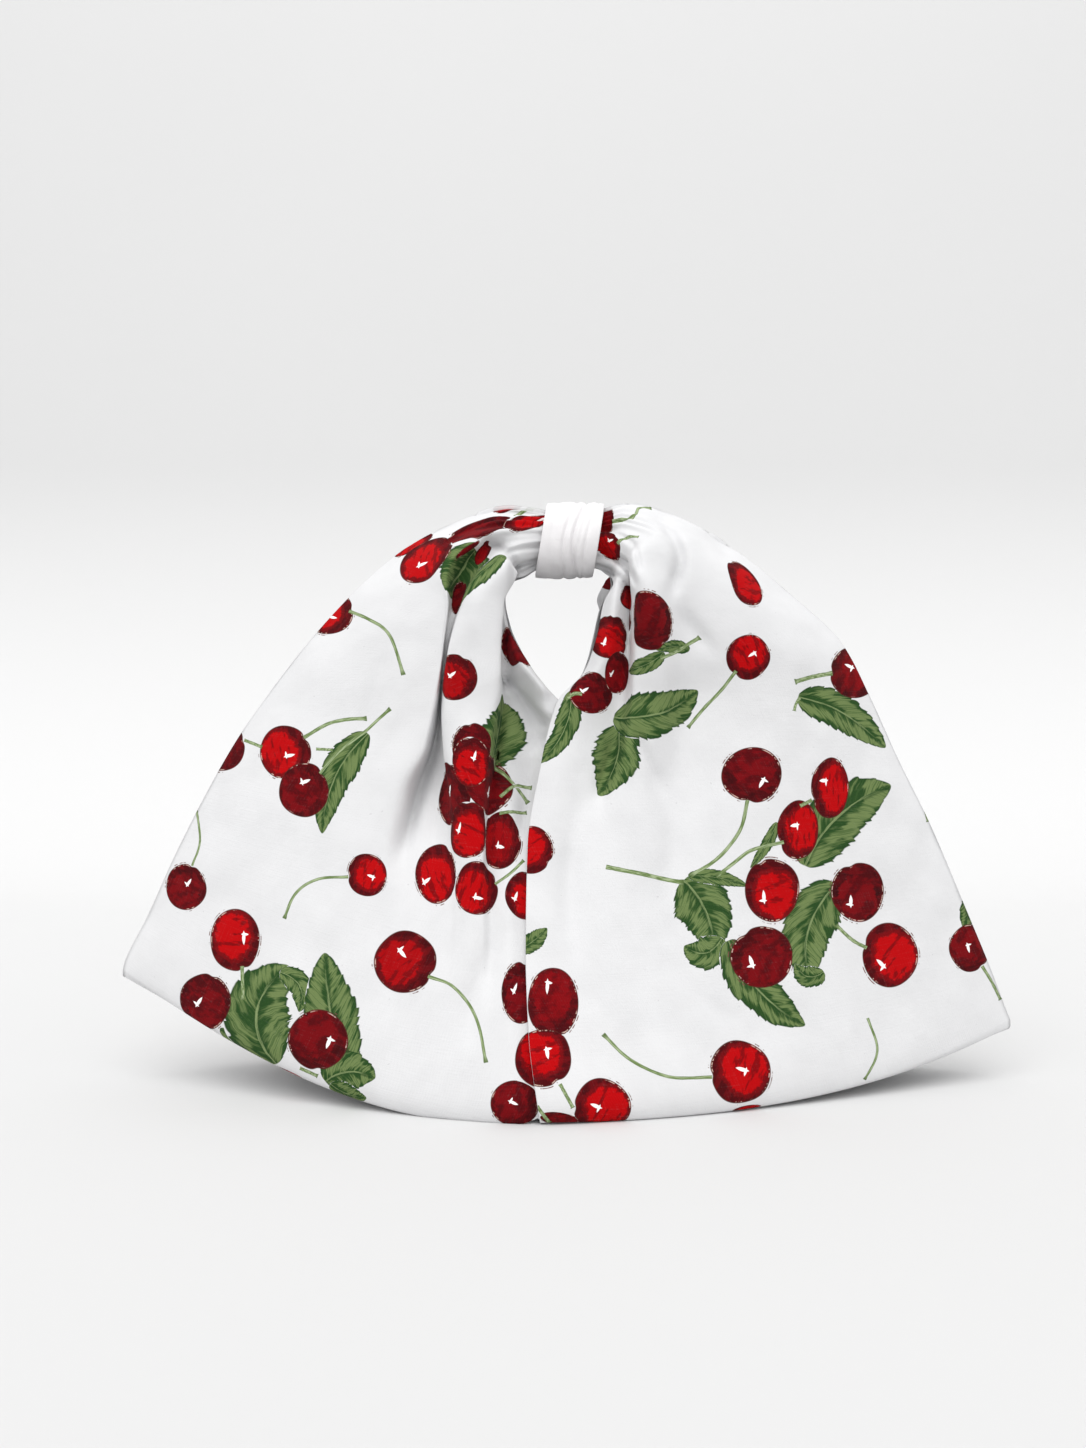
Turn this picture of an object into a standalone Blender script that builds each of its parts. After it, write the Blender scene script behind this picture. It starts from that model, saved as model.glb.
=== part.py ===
"""A soft knot bag of printed cotton, standing on its base.

Two panels, left and right, are each folded at the bag's outer side and closed along the middle of
the base. They lap over each other down the middle of the front and of the back, part above the lap
to leave the handle's opening, and are gathered into a wrapped band at the top.

X runs along the width, Y from front to back and Z up. The origin is on the surface that the bag
stands on, under the middle of its box. Tables and sizes are in millimetres, and MM turns them into
the scene's metres.
"""

import bmesh
import bpy
import numpy as np

MM = 0.001
CLOTH = 1.4  # thickness of a panel
GAP = 1.4  # air between two lapped panels
LAP = 8.0  # how far one panel reaches under the other
SEAM_GAP = 1.0  # between the two panels where they only meet, in the middle of the base
BACK_SEAM_SHIFT = 20.0  # the back lap lies this much further to the right than the front one
BACK_DROP = 6.0  # the back of the opening is this much lower than the front

# Levels are shares of the way from the middle of the base (0) to the end of the gather (1). A pair
# holds where a change begins and where it ends.
V_LEVEL = 0.79  # where the lap ends and the opening begins
FOLD_START = (0.2, 0.36)  # the folds come in over the bag's bottom edge
BASE_MEET = (0.05, 0.1)  # below, the panels meet edge to edge, and above they lap
LAP_END = (V_LEVEL - 0.03, V_LEVEL + 0.03)
UNDER_START = (0.02, 0.06)  # the panel below is pushed inwards from here
UNDER_END = (V_LEVEL, V_LEVEL + 0.06)
UNDER_REACH = (LAP + 2, LAP + 12)  # across the panel below, from its edge to where it is level again
BASE_TOP = 0.3  # below it nothing may sink under the surface that the bag stands on
BACK_SHIFT_END = (0.55, V_LEVEL)
BACK_DROP_START = (0.6, V_LEVEL)
BACK_DROP_END = (V_LEVEL, 0.9)
MIDDLE_AIR = 0.3  # the inner surfaces of front and back stay this far from the middle plane

# A panel's sections, one at each level along it. Each runs from the free inner edge to the fold at the
# outer side, where y is 0. Swell pushes a section forward and drop lowers it, at a third and at two
# thirds of its width.
SECTION_COLUMNS = "along edge_x edge_y edge_z side_x side_z swell_in swell_out drop_in drop_out".split()
RIGHT_SECTIONS = (
    (0.000, -16, 0, 0.0, 266, 30, 0, 0, 13, 27),
    (0.190, -16, -90, 0.0, 267, 32, 21, 9, 13, 27),
    (0.235, -16, -104, 1.5, 267, 35, 24, 10, 13, 27),
    (0.265, -17, -106, 9.0, 265, 40, 26, 11, 12, 25),
    (0.360, -22, -94, 45.0, 255, 66, 23, 14, 6, 14),
    (0.470, -24, -78, 92.0, 239, 104, 19, 16, 2, 6),
    (0.600, -23, -60, 148.0, 217, 155, 16, 18, 0, 2),
    (0.700, -16, -47, 190.0, 198, 193, 14, 19, 0, 0),
    (0.790, -7, -36, 226.0, 180, 232, 14, 21, 0, 0),
    (0.845, 9, -34, 245.0, 164, 262, 16, 23, 0, 0),
    (0.890, 17, -32, 266.0, 131, 293, 19, 23, 0, 0),
    (0.925, 21, -27, 285.0, 99, 318, 22, 22, 0, 0),
    (0.955, 27, -17, 297.0, 66, 337, 23, 22, 0, 0),
    (0.975, 26, -7, 302.0, 37, 345, 22, 20, 0, 0),
    (0.985, 19, -4, 306.5, 22, 341, 16, 16, 0, 0),
    (1.000, 5, -3, 309.0, 5, 337, 15, 15, 0, 0),
)
LEFT_SECTIONS = (
    (0.000, -16, 0, 0.0, -267, 62, 0, 0, 36, 29),
    (0.190, -16, -90, 0.0, -267, 66, 21, 9, 36, 29),
    (0.235, -16, -104, 1.5, -266, 70, 24, 10, 36, 29),
    (0.265, -17, -106, 9.0, -264, 75, 26, 11, 34, 27),
    (0.360, -22, -94, 45.0, -252, 98, 23, 14, 20, 14),
    (0.470, -24, -78, 92.0, -236, 133, 19, 15, 10, 6),
    (0.600, -23, -60, 148.0, -215, 174, 16, 17, 3, 1),
    (0.700, -16, -47, 190.0, -197, 205, 14, 18, 0, 0),
    (0.790, -7, -36, 226.0, -178, 232, 14, 19, 0, 0),
    (0.845, -21, -32, 248.0, -153, 264, 16, 20, 0, 0),
    (0.890, -34, -29, 272.0, -122, 297, 19, 21, 0, 0),
    (0.925, -37, -24, 289.0, -92, 321, 22, 22, 0, 0),
    (0.955, -33, -13, 299.0, -58, 337, 22, 22, 0, 0),
    (0.975, -25, -7, 302.0, -34, 343, 21, 20, 0, 0),
    (0.985, -17, -4, 306.5, -18, 341, 16, 16, 0, 0),
    (1.000, 2, -3, 309.0, 2, 337, 15, 15, 0, 0),
)

# Folds that run up a face. Across holds where a fold's line lies among the columns, from 0 at the
# inner edge to 1 at the side. Inset is its distance from the inner edge, and rise its height off the
# plain section, both at the levels named here.
FOLD_LEVELS = (0.30, 0.50, 0.62, 0.71, 0.80, 0.87, 0.925, 0.95, 0.965, 0.976)
GATHER_LEVEL = FOLD_LEVELS[-1]  # from here up the folds keep their shares of the narrowing width
GATHER_CALM = 0.6  # share of their rise that the folds lose between there and the end
LEFT_FRONT_FOLDS = (
    # line, across, inset, rise
    ("rim crest", 0.03, (8, 8, 8, 8, 7, 4, 2, 2, 2, 2), (0, 0, 0, 0, 1, 3, 1, 0, 0, 0)),
    ("rim underside", 0.07, (18, 17, 17, 18, 17, 9, 5, 4, 4, 4), (0, 0, -1, -4, -5, -4, -3, -2, -2, -1)),
    ("pleat foot", 0.11, (32, 29, 33, 36, 32, 15, 7, 6, 6, 6), (0, -1, -3, -6, -7, -6, -5, -4, -3, -1)),
    ("pleat right edge", 0.16, (44, 34, 35, 38, 34, 10, 2, 5, 7, 9), (0, 3, 8, 12, 14, 14, 15, 16, 4, 1)),
    ("pleat crown", 0.245, (56, 42, 44, 51, 50, 25, 12, 12, 12, 13), (0, 4, 10, 15, 17, 18, 18, 18, 6, 2)),
    ("pleat left edge", 0.33, (70, 50, 53, 64, 65, 37, 21, 18, 17, 17), (0, 2, 6, 11, 13, 12, 10, 9, 3, 1)),
    ("pleat left foot", 0.365, (75, 55, 57, 66, 66, 39, 23, 20, 19, 18), (0, 0, 1, 1, 1, 0, -1, -1, 0, 0)),
    ("valley", 0.42, (92, 74, 76, 79, 73, 45, 30, 25, 23, 22), (0, -1, -4, -7, -6, -5, -5, -4, -3, -1)),
    ("fold edge", 0.47, (112, 92, 83, 83, 76, 48, 39, 31, 29, 27), (0, 0, 3, 8, 11, 11, 10, 9, 6, 1)),
    ("fold back", 0.59, (142, 122, 112, 104, 98, 68, 53, 39, 36, 33), (0, 0, 1, 3, 5, 5, 4, 3, 2, 0)),
)
RIGHT_FRONT_FOLDS = (
    ("rim roll", 0.06, (10, 10, 10, 10, 12, 9, 8, 7, 6, 5), (0, 0, 0, 1, 4, 5, 6, 5, 3, 1)),
    ("groove", 0.13, (24, 24, 28, 38, 36, 22, 17, 15, 13, 11), (0, 0, -2, -5, -7, -7, -5, -5, -4, -1)),
    ("loop edge", 0.19, (38, 38, 42, 48, 44, 26, 20, 17, 15, 15), (0, 0, 1, 3, 5, 8, 12, 10, 2, 1)),
    ("loop crest", 0.29, (64, 62, 61, 60, 58, 38, 29, 24, 21, 19), (0, 0, 2, 4, 7, 13, 19, 19, 4, 1)),
    ("loop back", 0.42, (98, 94, 88, 83, 81, 60, 45, 35, 30, 27), (0, 0, -2, -4, -4, 1, 7, 13, 2, 0)),
    ("side corner", 0.70, (178, 172, 165, 155, 140, 104, 68, 48, 40, 36), (0, 0, 2, 4, 6, 8, 8, 9, 2, 1)),
)
LEAST_REACH = 0.55  # a fold's line is kept within this share of a narrow section, and more further out
FORWARD = 0.75  # share of a fold's rise that goes straight forward near the gather
FORWARD_START = (0.8, 0.9)
LEAN = 0.4  # how much a fold leans towards the band there, as a share of its rise
LEAN_START = (0.91, 0.945)
LEAN_END = (0.958, 0.97)
BACK_FOLD_SHARE = 0.8  # the back's folds are the other half's front ones, this much as high

COLUMNS = (0, 0.03, 0.05, 0.07, 0.09, 0.11, 0.135, 0.16, 0.2, 0.245, 0.29, 0.33, 0.348, 0.365, 0.39, 0.42,
           0.445, 0.47, 0.53, 0.59, 0.65, 0.7, 0.77, 0.84, 0.9, 0.95, 0.98, 1)
ROWS = (0, 0.06, 0.12, 0.17, 0.2, 0.22, 0.235, 0.25, 0.265, 0.3, 0.36, 0.42, 0.48, 0.54, 0.6, 0.65,
        0.7, 0.75, 0.79, 0.82, 0.845, 0.87, 0.89, 0.91, 0.925, 0.938, 0.948, 0.954, 0.96, 0.965, 0.971,
        0.977, 0.987, 1)

BAND_CENTRE = (1.5, 0.0, 322.8)
BAND_WIDTH = 34.0
BAND_HALF_HEIGHT = 22.7
BAND_HALF_DEPTH = 21.0
BAND_CLOTH = 2.4
BAND_SLANT = 2.5  # its top lies this much further to the right than its middle
BAND_TURNS = 40
BAND_STRIPS = 10
BAND_CREASES = ((-6.0, 9.0, 1.3), (5.0, 12.0, 1.6))  # offset along x, slant, depth
CREASE_WIDTH = 3.0
BACK_CREASE_SHARE = 0.2  # depth of the creases at the band's back
BAND_EDGE_DROP = 1.0  # the band's edges are drawn in this far

COTTON_WHITE = (0.86, 0.86, 0.87, 1.0)
BAND_WHITE = (0.9, 0.9, 0.9, 1.0)


def smooth(at, knots, values):
    """Values at the given places, on a smooth curve through the knots that never overshoots them."""
    at = np.clip(np.asarray(at, float), knots[0], knots[-1])
    knots = np.asarray(knots, float)
    values = np.asarray(values, float)
    step = np.diff(knots)
    slope = np.diff(values) / step
    before, after = slope[:-1], slope[1:]
    same_way = before * after > 0
    mean = np.where(same_way, 2 * before * after / np.where(same_way, before + after, 1), 0)
    tangent = np.concatenate([[slope[0]], mean, [slope[-1]]])
    i = np.clip(np.searchsorted(knots, at, "right") - 1, 0, len(step) - 1)
    s = (at - knots[i]) / step[i]
    start, end = values[i], values[i + 1]
    lean = step[i] * ((1 - s) ** 2 * s * tangent[i] - s**2 * (1 - s) * tangent[i + 1])
    return start + (end - start) * s * s * (3 - 2 * s) + lean


def ramp(at, ends):
    """0 before the first end, 1 after the second, eased between them."""
    start, end = ends
    s = np.clip((np.asarray(at, float) - start) / (end - start), 0, 1)
    return s * s * (3 - 2 * s)


def sections_at(table, along, back):
    """The table's columns at the given shares of the way up, as a dictionary of arrays."""
    columns = list(zip(*table))
    found = {name: smooth(along, columns[0], column) for name, column in zip(SECTION_COLUMNS, columns)}
    if back:
        found["edge_x"] = found["edge_x"] + BACK_SEAM_SHIFT * (1 - ramp(along, BACK_SHIFT_END))
        drop = ramp(along, BACK_DROP_START) * (1 - ramp(along, BACK_DROP_END))
        found["edge_z"] = found["edge_z"] - BACK_DROP * drop
    return found


def lapped_sections(table, along, back, under, toward):
    """Sections whose inner edge is moved towards the other half where this panel lies under it."""
    found = sections_at(table, along, back)
    meet = 1 - ramp(along, BASE_MEET)
    lap = (1 - meet) * (1 - ramp(along, LAP_END))
    found["edge_x"] = found["edge_x"] + toward * (LAP * lap * under - SEAM_GAP / 2 * meet)
    return found


def plain_point(s, share):
    """Points of the plain sections s at the given shares of their width."""
    t = share
    ease_in = 3 * t * (1 - t) ** 2
    ease_out = 3 * t * t * (1 - t)
    x = s["edge_x"] + (s["side_x"] - s["edge_x"]) * t
    y = s["edge_y"] * (1 - t) - s["swell_in"] * ease_in - s["swell_out"] * ease_out
    z = s["edge_z"] + (s["side_z"] - s["edge_z"]) * t - s["drop_in"] * ease_in - s["drop_out"] * ease_out
    return np.stack([x, y, z], axis=-1)


def fold_profile(folds, across, along, width, edge_out):
    """Inset and rise of the folds' cross-section, as two grids of rows by columns.

    edge_out tells how far out the inner edge lies. A fold's line is smooth in space, so it is the sum of
    inset and edge_out that is smoothed.
    """
    marks = [0.0] + [fold[1] for fold in folds] + [1.0]
    level_out = edge_out(np.array(FOLD_LEVELS))
    out = edge_out(np.clip(along, FOLD_LEVELS[0], FOLD_LEVELS[-1]))
    inset = [smooth(along, FOLD_LEVELS, fold[2] + level_out) - out for fold in folds]
    inset = [np.zeros_like(along)] + inset + [width]
    rise = [smooth(along, FOLD_LEVELS, fold[3]) for fold in folds]
    rise = [np.zeros_like(along)] + rise + [np.zeros_like(along)]
    inset, rise = np.array(inset).T, np.array(rise).T
    full_width = np.interp(GATHER_LEVEL, along, width)
    narrowed = np.where(along > GATHER_LEVEL, width / full_width, 1)
    inset[:, :-1] *= narrowed[:, None]
    inset = np.minimum(inset, width[:, None] * (LEAST_REACH + (1 - LEAST_REACH) * np.array(marks)))
    inset = np.array([smooth(across, marks, row) for row in inset])
    rise = np.array([smooth(across, marks, row) for row in rise])
    folded = ramp(along, FOLD_START)[:, None]
    inset = inset * folded + across[None, :] * width[:, None] * (1 - folded)
    gathered = 1 - GATHER_CALM * ramp(along, (GATHER_LEVEL, 1))[:, None]
    return inset, rise * folded * gathered


def face_points(table, folds, share, back, under, toward, across, along):
    """Outer surface of a panel's front, or of its back before it is mirrored: rows by columns."""
    def plain(t, at):
        s = lapped_sections(table, at, back, under, toward)
        return plain_point({name: value[:, None] for name, value in s.items()}, t)

    s = lapped_sections(table, along, back, under, toward)
    width = np.sqrt((s["side_x"] - s["edge_x"]) ** 2 + s["edge_y"] ** 2 + (s["side_z"] - s["edge_z"]) ** 2)
    inset, rise = fold_profile(
        folds, across, along, width,
        lambda at: -toward * lapped_sections(table, at, back, under, toward)["edge_x"],
    )
    t = inset / width[:, None]
    step = 1e-3
    across_way = plain(t + step, along) - plain(t - step, along)
    up = np.clip(along + step, 0, 1)
    down = np.clip(along - step, 0, 1)
    normal = np.cross(across_way, plain(t, up) - plain(t, down))
    normal *= -toward / np.linalg.norm(normal, axis=-1, keepdims=True)
    forward = FORWARD * ramp(along, FORWARD_START)[:, None, None]
    lean = LEAN * toward * ramp(along, LEAN_START) * (1 - ramp(along, LEAN_END))
    ahead = np.stack([lean, -np.ones_like(lean), np.zeros_like(lean)], axis=-1)[:, None]
    normal = normal * (1 - forward) + ahead * forward
    tuck = (CLOTH + GAP) * under * (1 - ramp(inset, UNDER_REACH))
    tuck = tuck * (ramp(along, UNDER_START) * (1 - ramp(along, UNDER_END)))[:, None]
    points = plain(t, along) + normal * (rise * share - tuck)[..., None]
    points[..., 2] = np.maximum(points[..., 2], tuck * (along < BASE_TOP)[:, None])
    return points


def panel_grid(left, across, along):
    """Outer surface of a whole panel, from its front edge round the side to its back edge."""
    table = LEFT_SECTIONS if left else RIGHT_SECTIONS
    front_folds = LEFT_FRONT_FOLDS if left else RIGHT_FRONT_FOLDS
    back_folds = RIGHT_FRONT_FOLDS if left else LEFT_FRONT_FOLDS
    toward = 1 if left else -1  # the way from this panel to the other, along x
    front = face_points(table, front_folds, 1.0, False, float(left), toward, across, along)
    back = face_points(table, back_folds, BACK_FOLD_SHARE, True, float(not left), toward, across, along)
    middle = (front[0] + back[0]) / 2
    front[0] = middle
    back[0] = middle
    back[..., 1] *= -1
    return np.concatenate([front, back[:, -2::-1]], axis=1)


def inner_grid(outer, left):
    """The panel's inner surface, one cloth thickness inside the outer one."""
    last = outer.shape[1] - 1
    below = outer[1, ::-1]
    stacked = np.concatenate([below[None], outer], axis=0)
    upward = np.gradient(stacked, axis=0)[1:]
    across_way = np.gradient(outer, axis=1)
    normal = np.cross(across_way, upward)
    length = np.maximum(np.linalg.norm(normal, axis=-1, keepdims=True), 1e-9)
    normal *= (1 if left else -1) / length
    inner = outer + normal * CLOTH
    middle = last // 2
    inner[1:, :middle, 1] = np.minimum(inner[1:, :middle, 1], -MIDDLE_AIR)
    inner[1:, middle + 1:, 1] = np.maximum(inner[1:, middle + 1:, 1], MIDDLE_AIR)
    inner[:, middle, 1] = 0
    inner[0, :, 1] = 0
    inner[0, middle] = outer[0, middle] + (CLOTH if left else -CLOTH, 0, CLOTH / 2)
    return inner


def cotton(name, colour):
    material = bpy.data.materials.new(name)
    material.use_nodes = True
    shader = material.node_tree.nodes["Principled BSDF"]
    shader.inputs["Base Color"].default_value = colour
    shader.inputs["Roughness"].default_value = 0.9
    shader.inputs["Metallic"].default_value = 0.0
    return material


def new_object(name, bm, material):
    bmesh.ops.recalc_face_normals(bm, faces=bm.faces)
    mesh = bpy.data.meshes.new(name)
    bm.to_mesh(mesh)
    bm.free()
    mesh.shade_smooth()
    mesh.materials.append(material)
    piece = bpy.data.objects.new(name, mesh)
    bpy.context.collection.objects.link(piece)
    return piece


def sheet_solid(bm, outer, inner):
    """Joins two grids into one closed sheet. In row 0 the columns from both sides are one line."""
    rows, count = outer.shape[:2]

    def vertices(grid):
        made = [[bm.verts.new(point * MM) for point in row] for row in grid[1:]]
        half = [bm.verts.new(point * MM) for point in grid[0, : count // 2 + 1]]
        return [half + half[-2::-1]] + made

    out, inside = vertices(outer), vertices(inner)
    for grid in (out, inside):
        for low, high in zip(grid, grid[1:]):
            for i in range(count - 1):
                bm.faces.new((low[i], low[i + 1], high[i + 1], high[i]))
    for i in range(count - 1):
        bm.faces.new((out[-1][i], out[-1][i + 1], inside[-1][i + 1], inside[-1][i]))
    for side in (0, count - 1):
        for row in range(rows - 1):
            bm.faces.new((out[row][side], out[row + 1][side], inside[row + 1][side], inside[row][side]))


def build_panel(name, left, material):
    across, along = np.array(COLUMNS, float), np.array(ROWS, float)
    outer = panel_grid(left, across, along)
    bm = bmesh.new()
    sheet_solid(bm, outer, inner_grid(outer, left))
    return new_object(name, bm, material)


def band_point(turn, strip):
    """A point of the band's outer face: turn is an angle from the front over the top, strip -1 to 1."""
    x = BAND_WIDTH / 2 * strip
    crease = sum(
        depth * np.exp(-(((x - offset - slant * np.sin(turn)) / CREASE_WIDTH) ** 2))
        for offset, slant, depth in BAND_CREASES
    )
    front_share = (1 + BACK_CREASE_SHARE) / 2 + (1 - BACK_CREASE_SHARE) / 2 * np.cos(turn)
    shrink = crease * front_share + BAND_EDGE_DROP * strip**4
    y = -(BAND_HALF_DEPTH - shrink) * np.cos(turn)
    z = (BAND_HALF_HEIGHT - shrink) * np.sin(turn)
    return np.array(BAND_CENTRE) + (x + BAND_SLANT * np.sin(turn), y, z)


def build_band(material):
    bm = bmesh.new()
    turns = np.linspace(0, 2 * np.pi, BAND_TURNS, endpoint=False)
    strips = np.linspace(-1, 1, BAND_STRIPS + 1)
    grid = [[bm.verts.new(band_point(turn, strip) * MM) for strip in strips] for turn in turns]
    for i, ring in enumerate(grid):
        following = grid[(i + 1) % BAND_TURNS]
        for j in range(BAND_STRIPS):
            bm.faces.new((ring[j], ring[j + 1], following[j + 1], following[j]))
    piece = new_object("band", bm, material)
    solid = piece.modifiers.new("cloth", "SOLIDIFY")
    solid.thickness = BAND_CLOTH * MM
    solid.offset = -1.0
    return piece


def main():
    for old in list(bpy.data.objects):
        bpy.data.objects.remove(old)
    printed = cotton("printed cotton", COTTON_WHITE)
    plain = cotton("plain cotton", BAND_WHITE)
    build_panel("left_panel", True, printed)
    build_panel("right_panel", False, printed)
    build_band(plain)


main()
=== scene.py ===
"""Looks of the knot bag: a white cotton bag with a cherry print, gathered into a plain wrapped band.

The panels are the source's own sections and folds worked out on a much finer grid. The print is a
chart of cherries, leaves and stems. Each motif is laid on the cloth by walking over the grid
from one point, which leaves its coordinates on the faces, and the shader paints it from those.
Sizes are in millimetres, and MM turns them into metres.
"""

import math

import bmesh
import bpy
import numpy as np
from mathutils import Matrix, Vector
from mathutils.bvhtree import BVHTree


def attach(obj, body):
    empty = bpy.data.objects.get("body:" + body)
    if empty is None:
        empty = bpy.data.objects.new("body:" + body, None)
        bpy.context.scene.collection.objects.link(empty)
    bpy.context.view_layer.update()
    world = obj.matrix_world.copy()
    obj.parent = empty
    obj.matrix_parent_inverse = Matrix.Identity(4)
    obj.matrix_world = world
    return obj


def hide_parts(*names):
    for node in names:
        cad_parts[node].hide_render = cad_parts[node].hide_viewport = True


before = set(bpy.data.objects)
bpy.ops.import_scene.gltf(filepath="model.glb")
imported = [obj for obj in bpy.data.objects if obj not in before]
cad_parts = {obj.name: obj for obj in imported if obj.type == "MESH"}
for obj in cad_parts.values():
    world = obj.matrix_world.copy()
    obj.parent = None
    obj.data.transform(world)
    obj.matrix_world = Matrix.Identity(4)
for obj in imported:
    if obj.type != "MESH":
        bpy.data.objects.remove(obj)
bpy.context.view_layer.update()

MM = 0.001

# ---------------------------------------------------------------- the source's sections and folds
CLOTH = 1.4  # thickness of a panel
GAP = 1.4  # air between two lapped panels
LAP = 8.0  # how far one panel reaches under the other
SEAM_GAP = 1.0  # between the two panels where they only meet, in the middle of the base
BACK_SEAM_SHIFT = 20.0  # the back lap lies this much further to the right than the front one
BACK_DROP = 6.0  # the back of the opening is this much lower than the front

# Levels are shares of the way from the middle of the base (0) to the end of the gather (1). A pair
# holds where a change begins and where it ends.
V_LEVEL = 0.79  # where the lap ends and the opening begins
FOLD_START = (0.2, 0.36)  # the folds come in over the bag's bottom edge
BASE_MEET = (0.05, 0.1)  # below, the panels meet edge to edge, and above they lap
LAP_END = (V_LEVEL - 0.03, V_LEVEL + 0.03)
UNDER_START = (0.02, 0.06)  # the panel below is pushed inwards from here
UNDER_END = (V_LEVEL, V_LEVEL + 0.06)
UNDER_REACH = (LAP + 2, LAP + 12)  # across the panel below, from its edge to where it is level again
BASE_TOP = 0.3  # below it nothing may sink under the surface that the bag stands on
BACK_SHIFT_END = (0.55, V_LEVEL)
BACK_DROP_START = (0.6, V_LEVEL)
BACK_DROP_END = (V_LEVEL, 0.9)
MIDDLE_AIR = 0.3  # the inner surfaces of front and back stay this far from the middle plane

# A panel's sections, one at each level along it. Each runs from the free inner edge to the fold at the
# outer side, where y is 0. Swell pushes a section forward and drop lowers it, at a third and at two
# thirds of its width.
SECTION_COLUMNS = "along edge_x edge_y edge_z side_x side_z swell_in swell_out drop_in drop_out".split()
RIGHT_SECTIONS = (
    (0.000, -16, 0, 0.0, 266, 30, 0, 0, 13, 27),
    (0.190, -16, -90, 0.0, 267, 32, 21, 9, 13, 27),
    (0.235, -16, -104, 1.5, 267, 35, 24, 10, 13, 27),
    (0.265, -17, -106, 9.0, 265, 40, 26, 11, 12, 25),
    (0.360, -22, -94, 45.0, 255, 66, 23, 14, 6, 14),
    (0.470, -24, -78, 92.0, 239, 104, 19, 16, 2, 6),
    (0.600, -23, -60, 148.0, 217, 155, 16, 18, 0, 2),
    (0.700, -16, -47, 190.0, 198, 193, 14, 19, 0, 0),
    (0.790, -7, -36, 226.0, 180, 232, 14, 21, 0, 0),
    (0.845, 9, -34, 245.0, 164, 262, 16, 23, 0, 0),
    (0.890, 17, -32, 266.0, 131, 293, 19, 23, 0, 0),
    (0.925, 21, -27, 285.0, 99, 318, 22, 22, 0, 0),
    (0.955, 27, -17, 297.0, 66, 337, 23, 22, 0, 0),
    (0.975, 26, -7, 302.0, 37, 345, 22, 20, 0, 0),
    (0.985, 19, -4, 306.5, 22, 341, 16, 16, 0, 0),
    (1.000, 5, -3, 309.0, 5, 337, 15, 15, 0, 0),
)
LEFT_SECTIONS = (
    (0.000, -16, 0, 0.0, -267, 62, 0, 0, 36, 29),
    (0.190, -16, -90, 0.0, -267, 66, 21, 9, 36, 29),
    (0.235, -16, -104, 1.5, -266, 70, 24, 10, 36, 29),
    (0.265, -17, -106, 9.0, -264, 75, 26, 11, 34, 27),
    (0.360, -22, -94, 45.0, -252, 98, 23, 14, 20, 14),
    (0.470, -24, -78, 92.0, -236, 133, 19, 15, 10, 6),
    (0.600, -23, -60, 148.0, -215, 174, 16, 17, 3, 1),
    (0.700, -16, -47, 190.0, -197, 205, 14, 18, 0, 0),
    (0.790, -7, -36, 226.0, -178, 232, 14, 19, 0, 0),
    (0.845, -21, -32, 248.0, -153, 264, 16, 20, 0, 0),
    (0.890, -34, -29, 272.0, -122, 297, 19, 21, 0, 0),
    (0.925, -37, -24, 289.0, -92, 321, 22, 22, 0, 0),
    (0.955, -33, -13, 299.0, -58, 337, 22, 22, 0, 0),
    (0.975, -25, -7, 302.0, -34, 343, 21, 20, 0, 0),
    (0.985, -17, -4, 306.5, -18, 341, 16, 16, 0, 0),
    (1.000, 2, -3, 309.0, 2, 337, 15, 15, 0, 0),
)

# Folds that run up a face. Across holds where a fold's line lies among the columns, from 0 at the
# inner edge to 1 at the side. Inset is its distance from the inner edge, and rise its height off the
# plain section, both at the levels named here.
FOLD_LEVELS = (0.30, 0.50, 0.62, 0.71, 0.80, 0.87, 0.925, 0.95, 0.965, 0.976)
GATHER_LEVEL = FOLD_LEVELS[-1]  # from here up the folds keep their shares of the narrowing width
GATHER_CALM = 0.6  # share of their rise that the folds lose between there and the end
LEFT_FRONT_FOLDS = (
    # line, across, inset, rise
    ("rim crest", 0.03, (8, 8, 8, 8, 7, 4, 2, 2, 2, 2), (0, 0, 0, 0, 1, 3, 1, 0, 0, 0)),
    ("rim underside", 0.07, (18, 17, 17, 18, 17, 9, 5, 4, 4, 4), (0, 0, -1, -4, -5, -4, -3, -2, -2, -1)),
    ("pleat foot", 0.11, (32, 29, 33, 36, 32, 15, 7, 6, 6, 6), (0, -1, -3, -6, -7, -6, -5, -4, -3, -1)),
    ("pleat right edge", 0.16, (44, 34, 35, 38, 34, 10, 2, 5, 7, 9), (0, 3, 8, 12, 14, 14, 15, 16, 4, 1)),
    ("pleat crown", 0.245, (56, 42, 44, 51, 50, 25, 12, 12, 12, 13), (0, 4, 10, 15, 17, 18, 18, 18, 6, 2)),
    ("pleat left edge", 0.33, (70, 50, 53, 64, 65, 37, 21, 18, 17, 17), (0, 2, 6, 11, 13, 12, 10, 9, 3, 1)),
    ("pleat left foot", 0.365, (75, 55, 57, 66, 66, 39, 23, 20, 19, 18), (0, 0, 1, 1, 1, 0, -1, -1, 0, 0)),
    ("valley", 0.42, (92, 74, 76, 79, 73, 45, 30, 25, 23, 22), (0, -1, -4, -7, -6, -5, -5, -4, -3, -1)),
    ("fold edge", 0.47, (112, 92, 83, 83, 76, 48, 39, 31, 29, 27), (0, 0, 3, 8, 11, 11, 10, 9, 6, 1)),
    ("fold back", 0.59, (142, 122, 112, 104, 98, 68, 53, 39, 36, 33), (0, 0, 1, 3, 5, 5, 4, 3, 2, 0)),
)
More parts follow.
